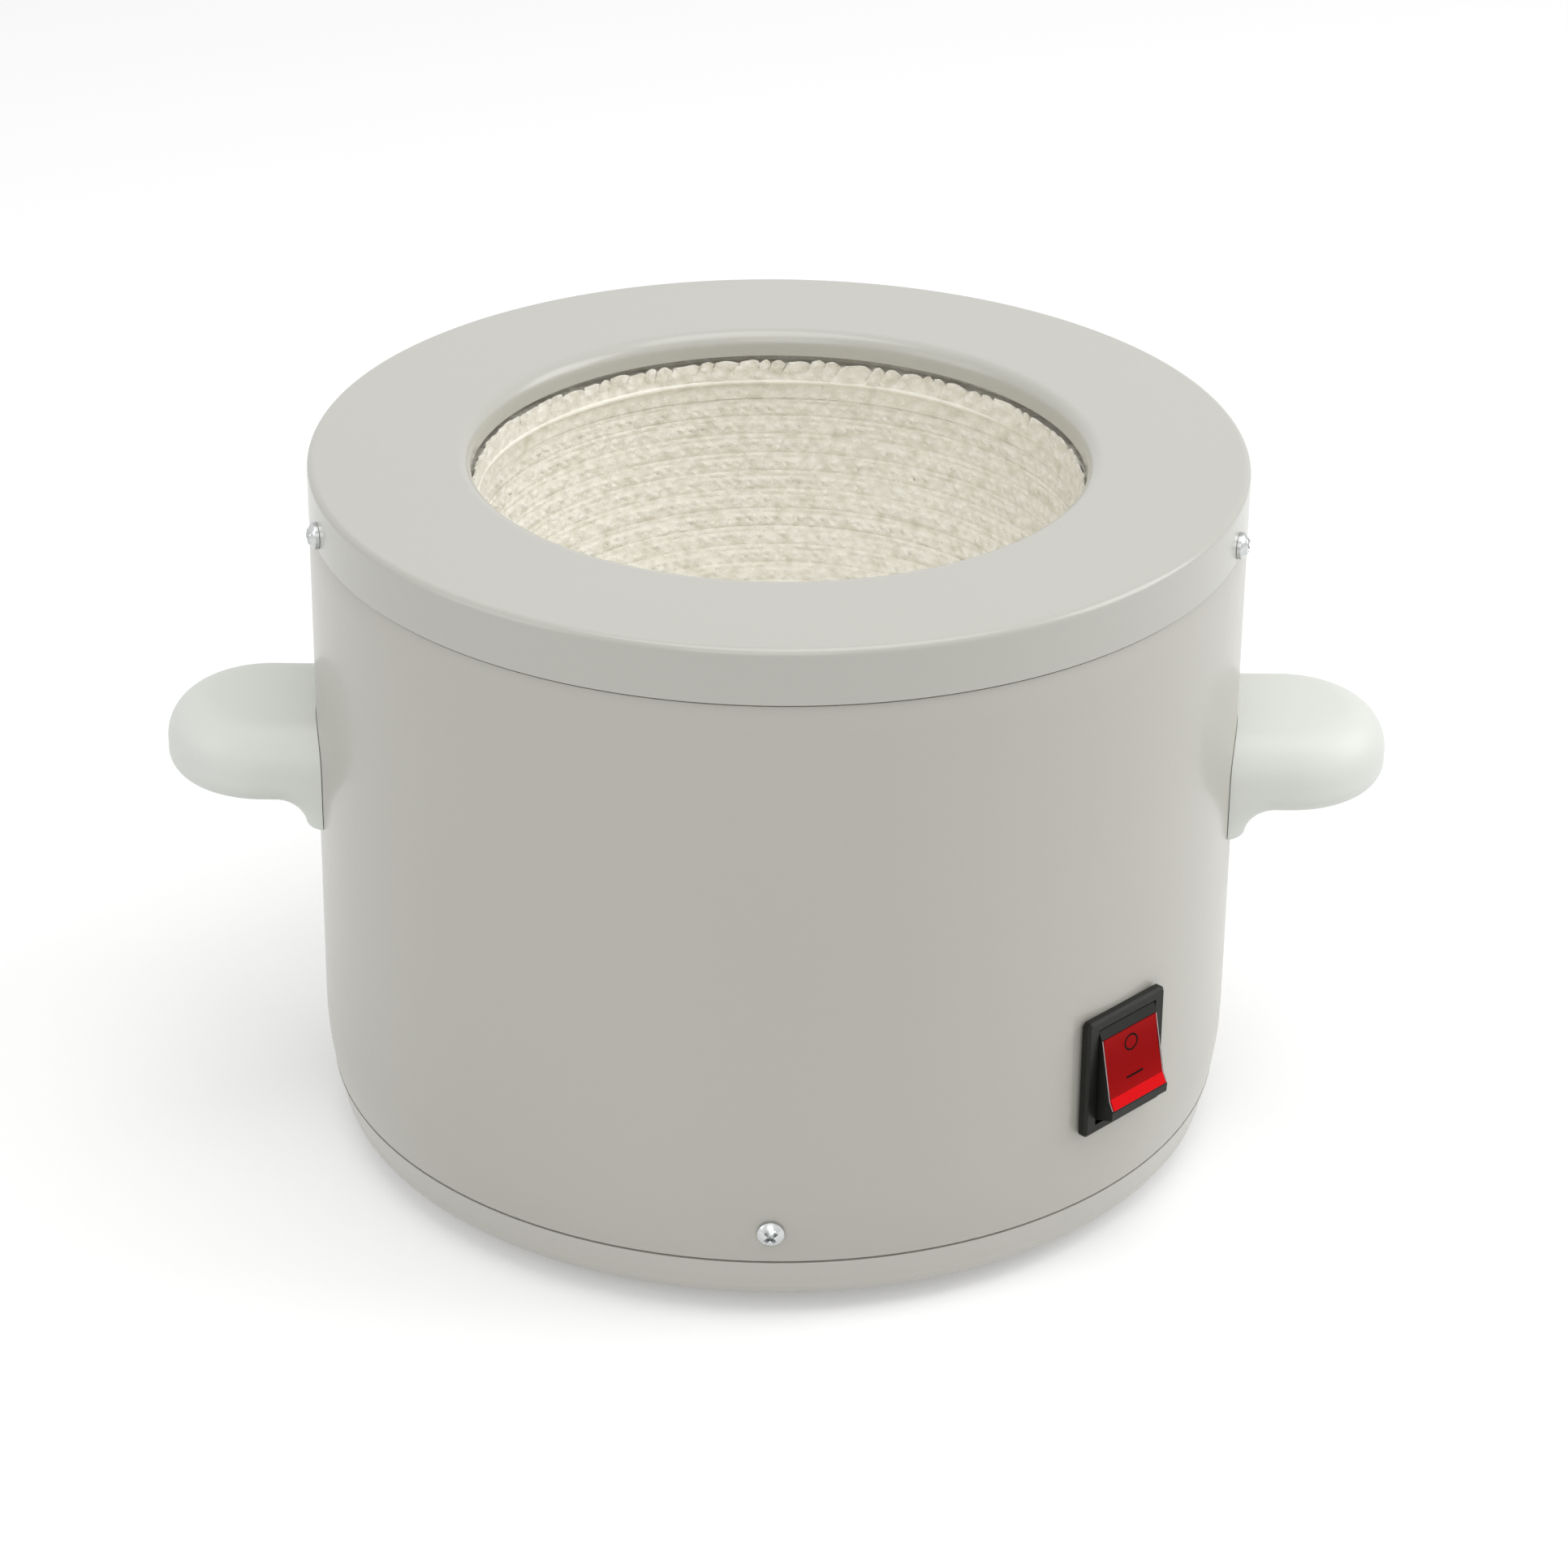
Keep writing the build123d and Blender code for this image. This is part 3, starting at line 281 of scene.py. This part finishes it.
def cross_head_screw(bm, radius, height, thread_radius, thread_length, turned):
    """A pan head on the XY plane with a tapered cross recess, and its shank below."""
    before = set(bm.verts)
    end = bmesh.ops.create_circle(bm, radius=thread_radius, segments=head_sides)["verts"]
    bmesh.ops.translate(bm, vec=(0, 0, -thread_length), verts=end)
    loop = list({edge for point in end for edge in point.link_edges})
    bmesh.ops.contextual_create(bm, geom=loop)
    loop = next_loop(bm, loop, 1.0, thread_length)
    loop = next_loop(bm, loop, radius / thread_radius, 0.0)
    loop = next_loop(bm, loop, 1.0, edge_share * height)
    reach = radius
    dome = dome_share * height
    ball = (radius**2 + dome**2) / (2 * dome)
    level = 0.0
    for share in dome_rings:
        new_level = sqrt(ball**2 - (share * radius) ** 2) - (ball - dome)
        loop = next_loop(bm, loop, share * radius / reach, new_level - level)
        reach = share * radius
        level = new_level
    rim = edge_share * height + dome - recess_sink
    arm = recess_reach * radius / head_radius
    half = recess_half_width * radius / head_radius
    depth = recess_depth * radius / head_radius
    corners = [(arm, -half), (arm, half), (half, half), (half, arm), (-half, arm), (-half, half)]
    corners += [(-x, -y) for x, y in corners]
    cross = [bm.verts.new((x, y, rim)) for x, y in corners]
    edges = [bm.edges.new((cross[i - 1], cross[i])) for i in range(len(cross))]
    bmesh.ops.bridge_loops(bm, edges=loop + edges)
    floor_ring = bmesh.ops.extrude_edge_only(bm, edges=edges)["geom"]
    bmesh.ops.scale(bm, vec=(recess_taper, recess_taper, 1), verts=points_of(floor_ring))
    bmesh.ops.translate(bm, vec=(0, 0, -depth), verts=points_of(floor_ring))
    bmesh.ops.contextual_create(bm, geom=loop_of(floor_ring))
    every = [point for point in bm.verts if point not in before]
    turn = Matrix.Rotation(radians(turned), 3, "Z")
    bmesh.ops.rotate(bm, cent=(0, 0, 0), matrix=turn, verts=every)
    return every


def wall_screws(name, node, azimuths, turned):
    """Screws round the case in place of a CAD node's, at its height and on the same wall."""
    low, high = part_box(node)
    seat = max(-low[1], high[1]) - head_height  # one screw is right at the front or the back
    height = (low[2] + high[2]) / 2
    bm = bmesh.new()
    for azimuth, turn in zip(azimuths, turned):
        points = cross_head_screw(bm, head_radius, head_height, shank_radius, shank_length, turn)
        bmesh.ops.transform(bm, matrix=out_of_wall(azimuth, seat, height), verts=points)
    piece = finish_piece(bm, name, zinc)
    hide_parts(node)


wall_screws("cover_screws_cross", "cover_screws", cover_screw_azimuths, turned=(12, 38, 60))
wall_screws("base_screws_cross", "base_screws", base_screw_azimuths, turned=(40, 5, 75))

spring_steel, shader, hand = start_finish("spring_steel", Metallic=1.0)
feed(shader, "Base Color", mix(hand, noise(hand, 500.0), tint(98, 97, 94), tint(70, 69, 67)))
feed(shader, "Roughness", noise(hand, 900.0) * 0.2 + 0.35)
dress(spring_steel, "cover_clip_nuts", "base_clip_nuts")
dress(zinc, "handle_screws", "handle_washers", "inlet_nuts", "cutout_nuts")
dress(zinc, "block_screws", "earth_bolt", "earth_nut", "foot_nuts")


# --- Handles --------------------------------------------------------------------------
# One-piece mouldings in off-white thermoset, each drawn against the wall by two screws
# into brass inserts. The surface is satin with a very fine spark-eroded grain.
mould_grain = 0.00002
handle_plastic, shader, hand = start_finish("handle_plastic", Specular_IOR_Level=0.45)
feed(shader, "Base Color", mix(hand, noise(hand, 30.0), tint(224, 227, 221), tint(219, 222, 215)))
feed(shader, "Roughness", noise(hand, 200.0) * 0.08 + 0.36)
relief(hand, shader, noise(hand, 2600.0, 1.0), mould_grain)
dress(handle_plastic, "handle_left", "handle_right")

brass, shader, hand = start_finish("brass", Metallic=1.0)
feed(shader, "Base Color", mix(hand, noise(hand, 400.0), tint(214, 178, 104), tint(188, 150, 84)))
feed(shader, "Roughness", noise(hand, 900.0) * 0.15 + 0.2)
dress(brass, "handle_inserts", "switch_blades", "terminal_screws")


# --- Rocker switch --------------------------------------------------------------------
# A snap-in housing and a rocker moulded in black nylon, with a red lens snapped into the
# rocker's face. The off and on marks are printed on the lens, so they tip with it.
black_plastic, shader, hand = start_finish("black_plastic", Specular_IOR_Level=0.2)
feed(shader, "Base Color", mix(hand, noise(hand, 150.0), tint(30, 30, 27), tint(24, 24, 22)))
feed(shader, "Roughness", noise(hand, 500.0) * 0.12 + 0.34)
relief(hand, shader, noise(hand, 3000.0, 1.0), mould_grain)
dress(black_plastic, "switch_housing", "switch_rocker", "inlet_housing")

mark_ink, shader, hand = start_finish("mark_ink", Roughness=0.6, Specular_IOR_Level=0.05)
feed(shader, "Base Color", mix(hand, noise(hand, 4000.0), tint(14, 6, 6), tint(24, 10, 10)))

switch_azimuth = 46.5  # the switch's places on the case are those of the CAD model
switch_height = 0.0478
bezel_front = 0.10455
pivot_depth = 0.0036
rest_tilt = 11.0
lens_rise = 0.0061  # pivot to the edges of the dished face
dish_middle = 0.00125
dish_half = 0.00685
lens_dish = 0.0003
lens_half = 0.0081
mark_proud = 0.00006
off_mark_place = 0.0047
off_mark_half_width = 0.0022
off_mark_half_height = 0.0019
off_mark_sides = 64
on_mark_place = -0.0027
on_mark_length = 0.0054
mark_line = 0.00044

rocker_pivot = out_of_wall(switch_azimuth, bezel_front - pivot_depth, switch_height)
rocker_seat = rocker_pivot @ Matrix.Rotation(radians(-rest_tilt), 4, "X")


def on_lens(up_face):
    """Turn and move a mark made on the XY plane onto the lens's dished face at rest."""
    place = (up_face - dish_middle) / dish_half
    rise = lens_rise - lens_dish * (1 - place**2) + mark_proud / 2
    slope = atan2(2 * lens_dish * place, dish_half)
    return rocker_seat @ Matrix.Translation((0, up_face, rise)) @ Matrix.Rotation(slope, 4, "X")


# The lens's red is painted deepest in the middle of its dished face and paler towards the
# ends, a painted sheen, and bright along its lower end, a painted highlight on that facet.
red_plastic, shader, hand = start_finish("red_plastic", Specular_IOR_Level=0.04)
up_lens = rocker_seat.col[1].xyz
level = -up_lens.dot(rocker_seat.col[3].xyz)
spot = hand.node("TexCoord", output="Object")
along = hand.node("VectorMath", {"operation": "DOT_PRODUCT"}, {0: spot, 1: up_lens}, output=1)
along = along + level
from_middle = (along - dish_middle) * (1 / dish_half)
# Painted sheen: the face's red is paler towards both ends of the dished face.
face = mix(hand, from_middle * from_middle, tint(146, 0, 2), tint(158, 10, 12))
# Painted highlight: the facet at the lens's lower end is painted bright red.
grip_highlight = hand.node("Math", {"operation": "LESS_THAN"}, {0: along, 1: dish_middle - dish_half})
feed(shader, "Base Color", mix(hand, grip_highlight, face, tint(222, 18, 24)))
feed(shader, "Roughness", noise(hand, 300.0) * 0.08 + 0.3)
dress(red_plastic, "switch_lens")

# The off mark is a ring, made between the inner and the outer edge of its line, and the
# on mark is a bar.
bm = bmesh.new()
for inset in (mark_line, 0.0):
    ring = bmesh.ops.create_circle(bm, radius=1.0, segments=off_mark_sides)["verts"]
    half_size = (off_mark_half_width - inset, off_mark_half_height - inset, 1.0)
    bmesh.ops.scale(bm, vec=half_size, verts=ring)
bmesh.ops.bridge_loops(bm, edges=bm.edges[:])
bmesh.ops.solidify(bm, geom=bm.faces[:], thickness=mark_proud)
bmesh.ops.transform(bm, matrix=on_lens(off_mark_place), verts=bm.verts)
off_mark = finish_piece(bm, "off_mark", mark_ink, "rocker", smooth=False)

bm = bmesh.new()
bar = Matrix.Diagonal((on_mark_length, mark_line, mark_proud, 1))
bmesh.ops.create_cube(bm, size=1.0, matrix=bar)
bmesh.ops.transform(bm, matrix=on_lens(on_mark_place), verts=bm.verts)
on_mark = finish_piece(bm, "on_mark", mark_ink, "rocker", smooth=False)

# The lens's two long edges are pale strips, a painted highlight, rising at the lens's lower end.
lens_rim_highlight, shader, hand = start_finish("lens_rim_highlight", Roughness=0.3, Specular_IOR_Level=0.5)
# Painted highlight: the strips' pale colour stands in for light on the lens's edges.
feed(shader, "Base Color", mix(hand, noise(hand, 900.0), tint(196, 182, 180), tint(160, 140, 140)))
rim_place = 0.00886
rim_width = 0.00022
rim_rise = 0.00592
rim_steps = 16
grip_start = -0.0061
grip_slope = 0.28
bm = bmesh.new()
for side in (-1, 1):
    made = bmesh.ops.create_grid(bm, x_segments=1, y_segments=rim_steps, size=1.0)["verts"]
    for point in made:
        up_face = lens_half * point.co.y
        across = side * rim_place + point.co.x * rim_width / 2
        rise = rim_rise + grip_slope * max(0.0, grip_start - up_face)
        point.co = rocker_seat @ Vector((across, up_face, rise))
bmesh.ops.solidify(bm, geom=bm.faces[:], thickness=mark_proud)
rim_highlights = finish_piece(bm, "lens_rim_highlights", lens_rim_highlight, "rocker")


# --- Appliance inlet ------------------------------------------------------------------
# A flanged black moulding in the back wall with three nickelled pins, held by two
# countersunk screws and nuts.
nickel, shader, hand = start_finish("nickel_plate", Metallic=1.0)
feed(shader, "Base Color", mix(hand, noise(hand, 500.0), tint(208, 203, 194), tint(190, 185, 176)))
feed(shader, "Roughness", noise(hand, 1200.0) * 0.12 + 0.14)
dress(nickel, "inlet_pins")
dress(zinc, "inlet_screws", "foot_screws")


# --- Heating cup ----------------------------------------------------------------------
# Knitted glass-fibre yarn over a plain backing. Each course is a raised thread over two
# staggered rows of small stitches, from the neck down to the pole.
cup_centre = 0.1500
cup_inside = 0.0660
cup_outside = 0.0700
cup_backing = 0.0676
cup_rim = 0.1534
hem_bottom = 0.1512
hem_radius = 0.0880
hem_inside = 0.0706
neck_top = 0.1517
neck_radius = 0.06725
inside_steps = 20
outside_steps = 10
bowl_sides = 120
course_count = 24
first_course = radians(1.6)
stitch_length = 0.0028
stitch_steps = 4
course_steps = 10
lean = 0.3
thread_place = -0.7  # across a course, from -1 at its upper edge to 1
thread_half = 0.3
stitch_band = 1 - thread_place - thread_half
thread_rise = 0.00032
thread_level = 0.55
thread_waves = ((7, 0.25), (23, 0.2))  # each wave's count in a turn of the bowl, and height
stitch_rise = 0.0008
stitch_sizes = (0.4, 1.2)
stitch_body = 0.8  # below 1 a stitch is plump, above 1 it is peaked
row_shift = 0.25  # of a stitch, to each side: the second row lies between the first
row_stride = 5  # keeps stitches of one size from lying under each other
first_fullness = 0.25
course_fullness = (0.8, 1.1)
course_half = 0.505  # of the pitch, so that courses overlap by a hair
random.seed(7)


def yarn_finish(name, grain_share, distance):
    """Off-white glass yarn: fine strands, and small grains with painted shade in the hollows
    between them.

    The grain's share sets how deep those hollows are and how dark their painted shade is, the
    distance how high the relief is.
    """
    material, shader, hand = start_finish(
        name, Roughness=0.7, Sheen_Weight=0.1, Sheen_Roughness=0.5, Specular_IOR_Level=0.25
    )
    strands = noise(hand, 2400.0, 3.0)
    tufts = noise(hand, 800.0, 1.0)
    spot = hand.node("TexCoord", output="Object")
    grain = hand.node("TexVoronoi", {"feature": "SMOOTH_F1"}, {"Vector": spot, "Scale": 480.0})
    colour = mix(hand, noise(hand, 22.0), tint(250, 249, 241), tint(247, 243, 232))
    colour = mix(hand, strands * 0.3, colour, tint(232, 228, 214))
    # Painted shade: the hollows between the grains are painted darker in the base colour.
    pit_shade = grain * grain * grain_share
    feed(shader, "Base Color", mix(hand, pit_shade, colour, tint(196, 188, 166)))
    relief(hand, shader, strands * 0.2 + tufts * 0.25 - grain * grain_share, distance)
    return material


def waves_at(turn, waves, starts=(0.0, 0.0)):
    """What waves round the bowl add up to: each has its count in a turn and its height."""
    return sum(height * sin(count * turn + start) for (count, height), start in zip(waves, starts))


glass_yarn = yarn_finish("glass_yarn", grain_share=0.85, distance=0.0011)
glass_cord = yarn_finish("glass_cord", grain_share=0.4, distance=0.0006)  # the yarn laid tight


def on_bowl(reach, angle):
    """A point of the bowl's section: angle in radians below its centre."""
    return Vector((reach * cos(angle), 0, cup_centre - reach * sin(angle)))


section = [on_bowl(cup_backing, radians(step * 90 / inside_steps)) for step in range(inside_steps)]
section.append(Vector((0, 0, cup_centre - cup_backing)))
section.append(Vector((0, 0, cup_centre - cup_outside)))
turns_up = [radians(90 - step * 90 / outside_steps) for step in range(1, outside_steps + 1)]
section += [on_bowl(cup_outside, angle) for angle in turns_up]
section += [Vector((cup_outside, 0, hem_bottom)), Vector((hem_radius, 0, hem_bottom))]
section += [Vector((hem_radius, 0, cup_rim)), Vector((hem_inside, 0, cup_rim))]
section += [Vector((hem_inside, 0, neck_top)), Vector((neck_radius, 0, neck_top))]
bm = bmesh.new()
points = [bm.verts.new(point) for point in section]
edges = [bm.edges.new((points[i - 1], points[i])) for i in range(1, len(points))]
edges.append(bm.edges.new((points[-1], points[0])))
edges = [edge for edge in edges if max(hypot(*point.co.xy) for point in edge.verts) > weld]
bmesh.ops.spin(
    bm,
    geom=points + edges,
    cent=(0, 0, 0),
    axis=(0, 0, 1),
    angle=2 * pi,
    steps=bowl_sides,
    use_merge=True,
)
bmesh.ops.remove_doubles(bm, verts=bm.verts, dist=weld)


def knit_course(bm, angle, half_height, fullness):
    """One course round the bowl: its raised thread, then two rows of stitches."""
    stitches = max(6, round(2 * pi * cup_inside * cos(angle) / stitch_length))
    swell = [random.uniform(*stitch_sizes) for _ in range(2 * stitches)]
    sway = [random.uniform(0, 2 * pi) for _ in range(2)]
    depth = thread_rise + fullness * stitch_rise / 2
    made = bmesh.ops.create_grid(
        bm, x_segments=stitches * stitch_steps, y_segments=course_steps, size=1.0
    )["verts"]
    for point in made:
        turn = pi * (1 + point.co.x)
        across = point.co.y
        band = max(0.0, (across - thread_place - thread_half) / stitch_band)
        place = turn / (2 * pi) * stitches + lean * across
        rising = place + band - row_shift
        falling = place - band + row_shift
        number = (int(rising) + row_stride * int(falling)) % (2 * stitches)
        loop = swell[number] * sqrt(sin(pi * min(band, 1)))
        loop *= abs(sin(pi * rising) * sin(pi * falling)) ** stitch_body
        from_thread = (across - thread_place) / thread_half
        thread = cos(pi / 2 * from_thread) ** 2 if abs(from_thread) < 1 else 0.0
        thread *= thread_level + waves_at(turn, thread_waves, sway)
        height = thread_rise * thread + fullness * stitch_rise * loop
        reach = cup_inside + depth - height
        below = min(angle + across * half_height, pi / 2)
        point.co = on_bowl(reach, below)
        point.co.xy = (point.co.x * cos(turn), point.co.x * sin(turn))


course_pitch = (pi / 2 - first_course) / course_count
for course in range(course_count):
    fullness = first_fullness if course == 0 else random.uniform(*course_fullness)
    angle = first_course + (course + 0.5) * course_pitch
    knit_course(bm, angle, course_half * course_pitch, fullness)
bmesh.ops.remove_doubles(bm, verts=bm.verts, dist=weld)
knitted_cup = finish_piece(bm, "knitted_cup", glass_yarn)
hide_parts("heating_cup")

# The neck: a smooth drawing cord laid round the bowl, and above it the last of the
# yarn gathered into small rounded loops that stand up to the cover's lip.
cord_height = 0.1480
cord_reach = 0.0657
cord_thickness = 0.0006
cord_sway = 0.0003  # proud of the knit at the back left, sunk into it at the front right
cord_sway_side = radians(135)
cord_waves = ((5, 0.00015), (11, 0.0001))
cord_rises = ((7, 0.00012),)
cord_sides = 10
cord_steps = 240
frill_reach = 0.0663
frill_flare = 0.0008
frill_top = 0.1534
frill_loops = 96
frill_slant = 0.6
frill_steps = 8
frill_rows = 6
frill_thickness = 0.0005
frill_waves = ((31, 0.25), (12, 0.2))
start_nudge = 1e-6  # so that the last point of the ring counts as its first loop
loop_rise = 0.0015
loop_sizes = (0.6, 1.25)
loop_tops = (-0.0006, 0.0)
loop_level = 0.6  # above this share of its crown a loop stands in, below it stands out
notch_depths = (0.0008, 0.0028)
notch_side = radians(40)  # the notches are deepest at the back right
notch_more = 0.5

bm = bmesh.new()
made = bmesh.ops.create_grid(bm, x_segments=cord_steps, y_segments=cord_sides, size=1.0)["verts"]
for point in made:
    turn = pi * (1 + point.co.x)
    side = pi * (1 + point.co.y)
    reach = cord_reach + cord_thickness * (1 + cos(side)) - cord_sway * cos(turn - cord_sway_side)
    reach += waves_at(turn, cord_waves)
    height = cord_height + cord_thickness * sin(side) + waves_at(turn, cord_rises)
    point.co = (reach * cos(turn), reach * sin(turn), height)
bmesh.ops.remove_doubles(bm, verts=bm.verts, dist=weld)
neck_cord = finish_piece(bm, "neck_cord", glass_cord)

bm = bmesh.new()
loop_swell = [random.uniform(*loop_sizes) for _ in range(frill_loops)]
loop_top = [random.uniform(*loop_tops) for _ in range(frill_loops)]
notch = [random.uniform(*notch_depths) for _ in range(frill_loops)]
made = bmesh.ops.create_grid(
    bm, x_segments=frill_loops * frill_steps, y_segments=frill_rows, size=1.0
)["verts"]
for point in made:
    turn = pi * (1 + point.co.x)
    share = (1 + point.co.y) / 2
    place = turn / (2 * pi) * frill_loops + frill_slant * share
    place += waves_at(turn, frill_waves)
    number = int(place + start_nudge) % frill_loops
    crown = sqrt(abs(sin(pi * place)))
    reach = frill_reach + frill_flare * share
    reach -= loop_rise * loop_swell[number] * share * (crown - loop_level)
    drop = notch[number] * (1 + notch_more * cos(turn - notch_side)) * (1 - crown)
    height = cord_height + share * (frill_top - cord_height + loop_top[number] - drop)
    point.co = (reach * cos(turn), reach * sin(turn), height)
bmesh.ops.remove_doubles(bm, verts=bm.verts, dist=weld)
bmesh.ops.solidify(bm, geom=bm.faces[:], thickness=frill_thickness)
frill = finish_piece(bm, "neck_frill", glass_yarn)


# --- Insulation, inner pan and element ------------------------------------------------
# A moulded ceramic-fibre block carries the cup inside a spun aluminium pan. Resistance
# tape runs to and fro between the two, and soft rings close the gap under the cover.
fibre, shader, hand = start_finish("fibre_block", Roughness=0.9)
feed(shader, "Base Color", mix(hand, noise(hand, 300.0), tint(232, 230, 222), tint(214, 211, 200)))
relief(hand, shader, noise(hand, 900.0, 3.0), 0.0003)
dress(fibre, "insulation")

tape, shader, hand = start_finish("packing_tape", Roughness=0.9)
feed(shader, "Base Color", mix(hand, noise(hand, 400.0), tint(178, 164, 126), tint(150, 136, 100)))
relief(hand, shader, noise(hand, 1500.0, 3.0), 0.0002)
dress(tape, "packing_ring")

aluminium, shader, hand = start_finish("spun_aluminium", Metallic=1.0)
feed(shader, "Base Color", mix(hand, noise(hand, 60.0), tint(214, 216, 218), tint(200, 202, 205)))
feed(shader, "Roughness", noise(hand, 400.0) * 0.15 + 0.3)
dress(aluminium, "inner_pan")

silicone, shader, hand = start_finish("silicone", Roughness=0.55)
feed(shader, "Base Color", mix(hand, noise(hand, 80.0), tint(170, 62, 44), tint(156, 54, 38)))
dress(silicone, "cover_gasket")

alloy, shader, hand = start_finish("resistance_alloy", Metallic=1.0)
feed(shader, "Base Color", mix(hand, noise(hand, 250.0), tint(150, 144, 138), tint(108, 100, 96)))
feed(shader, "Roughness", noise(hand, 600.0) * 0.2 + 0.4)
dress(alloy, "heating_element")


# --- Thermal cut-out and terminal block -----------------------------------------------
# A plated snap disc is clamped under the pan, and a glazed ceramic block on the base pan
# takes the leads.
plated, shader, hand = start_finish("cutout_steel", Metallic=1.0)
feed(shader, "Base Color", mix(hand, noise(hand, 300.0), tint(206, 205, 200), tint(184, 183, 178)))
feed(shader, "Roughness", noise(hand, 900.0) * 0.15 + 0.25)
dress(plated, "thermal_cutout")

ceramic, shader, hand = start_finish("ceramic", Coat_Weight=0.5, Coat_Roughness=0.1)
feed(shader, "Base Color", mix(hand, noise(hand, 120.0), tint(238, 236, 228), tint(230, 227, 216)))
feed(shader, "Roughness", noise(hand, 300.0) * 0.1 + 0.3)
dress(ceramic, "terminal_block")


# --- Feet -----------------------------------------------------------------------------
# Moulded black rubber, each held up into the base pan by a sunk screw.
rubber, shader, hand = start_finish("foot_rubber")
feed(shader, "Base Color", mix(hand, noise(hand, 200.0), tint(36, 36, 36), tint(48, 47, 46)))
feed(shader, "Roughness", noise(hand, 700.0) * 0.15 + 0.6)
dress(rubber, "feet")


# --- Bench, light and camera ----------------------------------------------------------
# A wide white bench top that fades into a white room, soft light from above, from both
# sides and from the front, and a long lens.
bench_half = 6.0
bench_white = (0.82, 0.82, 0.82, 1)
bench_glow = 0.28
room_white = (1, 1, 1, 1)
room_light = 0.5
backdrop_light = 1.0
lens_length = 110.5
sensor_width = 36
camera_place = (0.0018, -0.9659, 0.5718)
camera_tilt = 62.89
camera_roll = 0.615


def seen_by_eye(hand):
    """1 on the rays that an eye follows: straight, mirrored or through glass."""
    ray = hand.node("LightPath").socket.node.outputs
    seen = Shade(hand.tree, ray["Is Camera Ray"]) + Shade(hand.tree, ray["Is Glossy Ray"])
    return seen + Shade(hand.tree, ray["Is Transmission Ray"])


bm = bmesh.new()
bmesh.ops.create_grid(bm, x_segments=1, y_segments=1, size=bench_half)
mesh = bpy.data.meshes.new("bench")
bm.to_mesh(mesh)
bm.free()
bench = bpy.data.objects.new("bench", mesh)
bpy.context.scene.collection.objects.link(bench)
material = bpy.data.materials.new("bench_white")
material.use_nodes = True
hand = Shade(material.node_tree)
material.node_tree.nodes.clear()
glow_strength = seen_by_eye(hand) * bench_glow
lit = hand.node("BsdfDiffuse", None, {"Color": bench_white})
glow = hand.node("Emission", None, {"Color": room_white, "Strength": glow_strength})
surface = hand.node("AddShader", None, {0: lit, 1: glow})
hand.node("OutputMaterial", None, {"Surface": surface})
mesh.materials.append(material)

world = bpy.data.worlds.new("room")
bpy.context.scene.world = world
world.use_nodes = True
world.node_tree.nodes.clear()
hand = Shade(world.node_tree)
room = hand.node("Background", None, {"Color": room_white, "Strength": room_light})
backdrop = hand.node("Background", None, {"Color": room_white, "Strength": backdrop_light})
surface = hand.node("MixShader", None, {0: seen_by_eye(hand), 1: room, 2: backdrop})
hand.node("OutputWorld", None, {"Surface": surface})


def softbox(name, place, aim, size, power):
    """A square lamp at a place, turned to face a point."""
    lamp = bpy.data.lights.new(name, "AREA")
    lamp.size = size
    lamp.energy = power
    holder = bpy.data.objects.new(name, lamp)
    holder.location = place
    holder.rotation_euler = (Vector(aim) - Vector(place)).to_track_quat("-Z", "Y").to_euler()
    bpy.context.scene.collection.objects.link(holder)


middle = (0, 0, 0.1)
softbox("light_above", (0.1, -0.15, 1.5), middle, size=1.2, power=8.5)
softbox("light_left", (-1.3, -0.5, 0.7), middle, size=0.9, power=2.4)
softbox("light_right", (1.25, 0.1, 0.85), middle, size=0.9, power=7)
softbox("light_front", (-0.1, -1.4, 0.85), middle, size=0.9, power=2.9)

lens = bpy.data.cameras.new("camera")
lens.lens = lens_length
lens.sensor_width = sensor_width
camera = bpy.data.objects.new("camera", lens)
bpy.context.scene.collection.objects.link(camera)
stand = Matrix.Translation(camera_place) @ Matrix.Rotation(radians(camera_tilt), 4, "X")
camera.matrix_world = stand @ Matrix.Rotation(radians(camera_roll), 4, "Z")
bpy.context.scene.camera = camera
bpy.context.scene.view_settings.view_transform = "Standard"
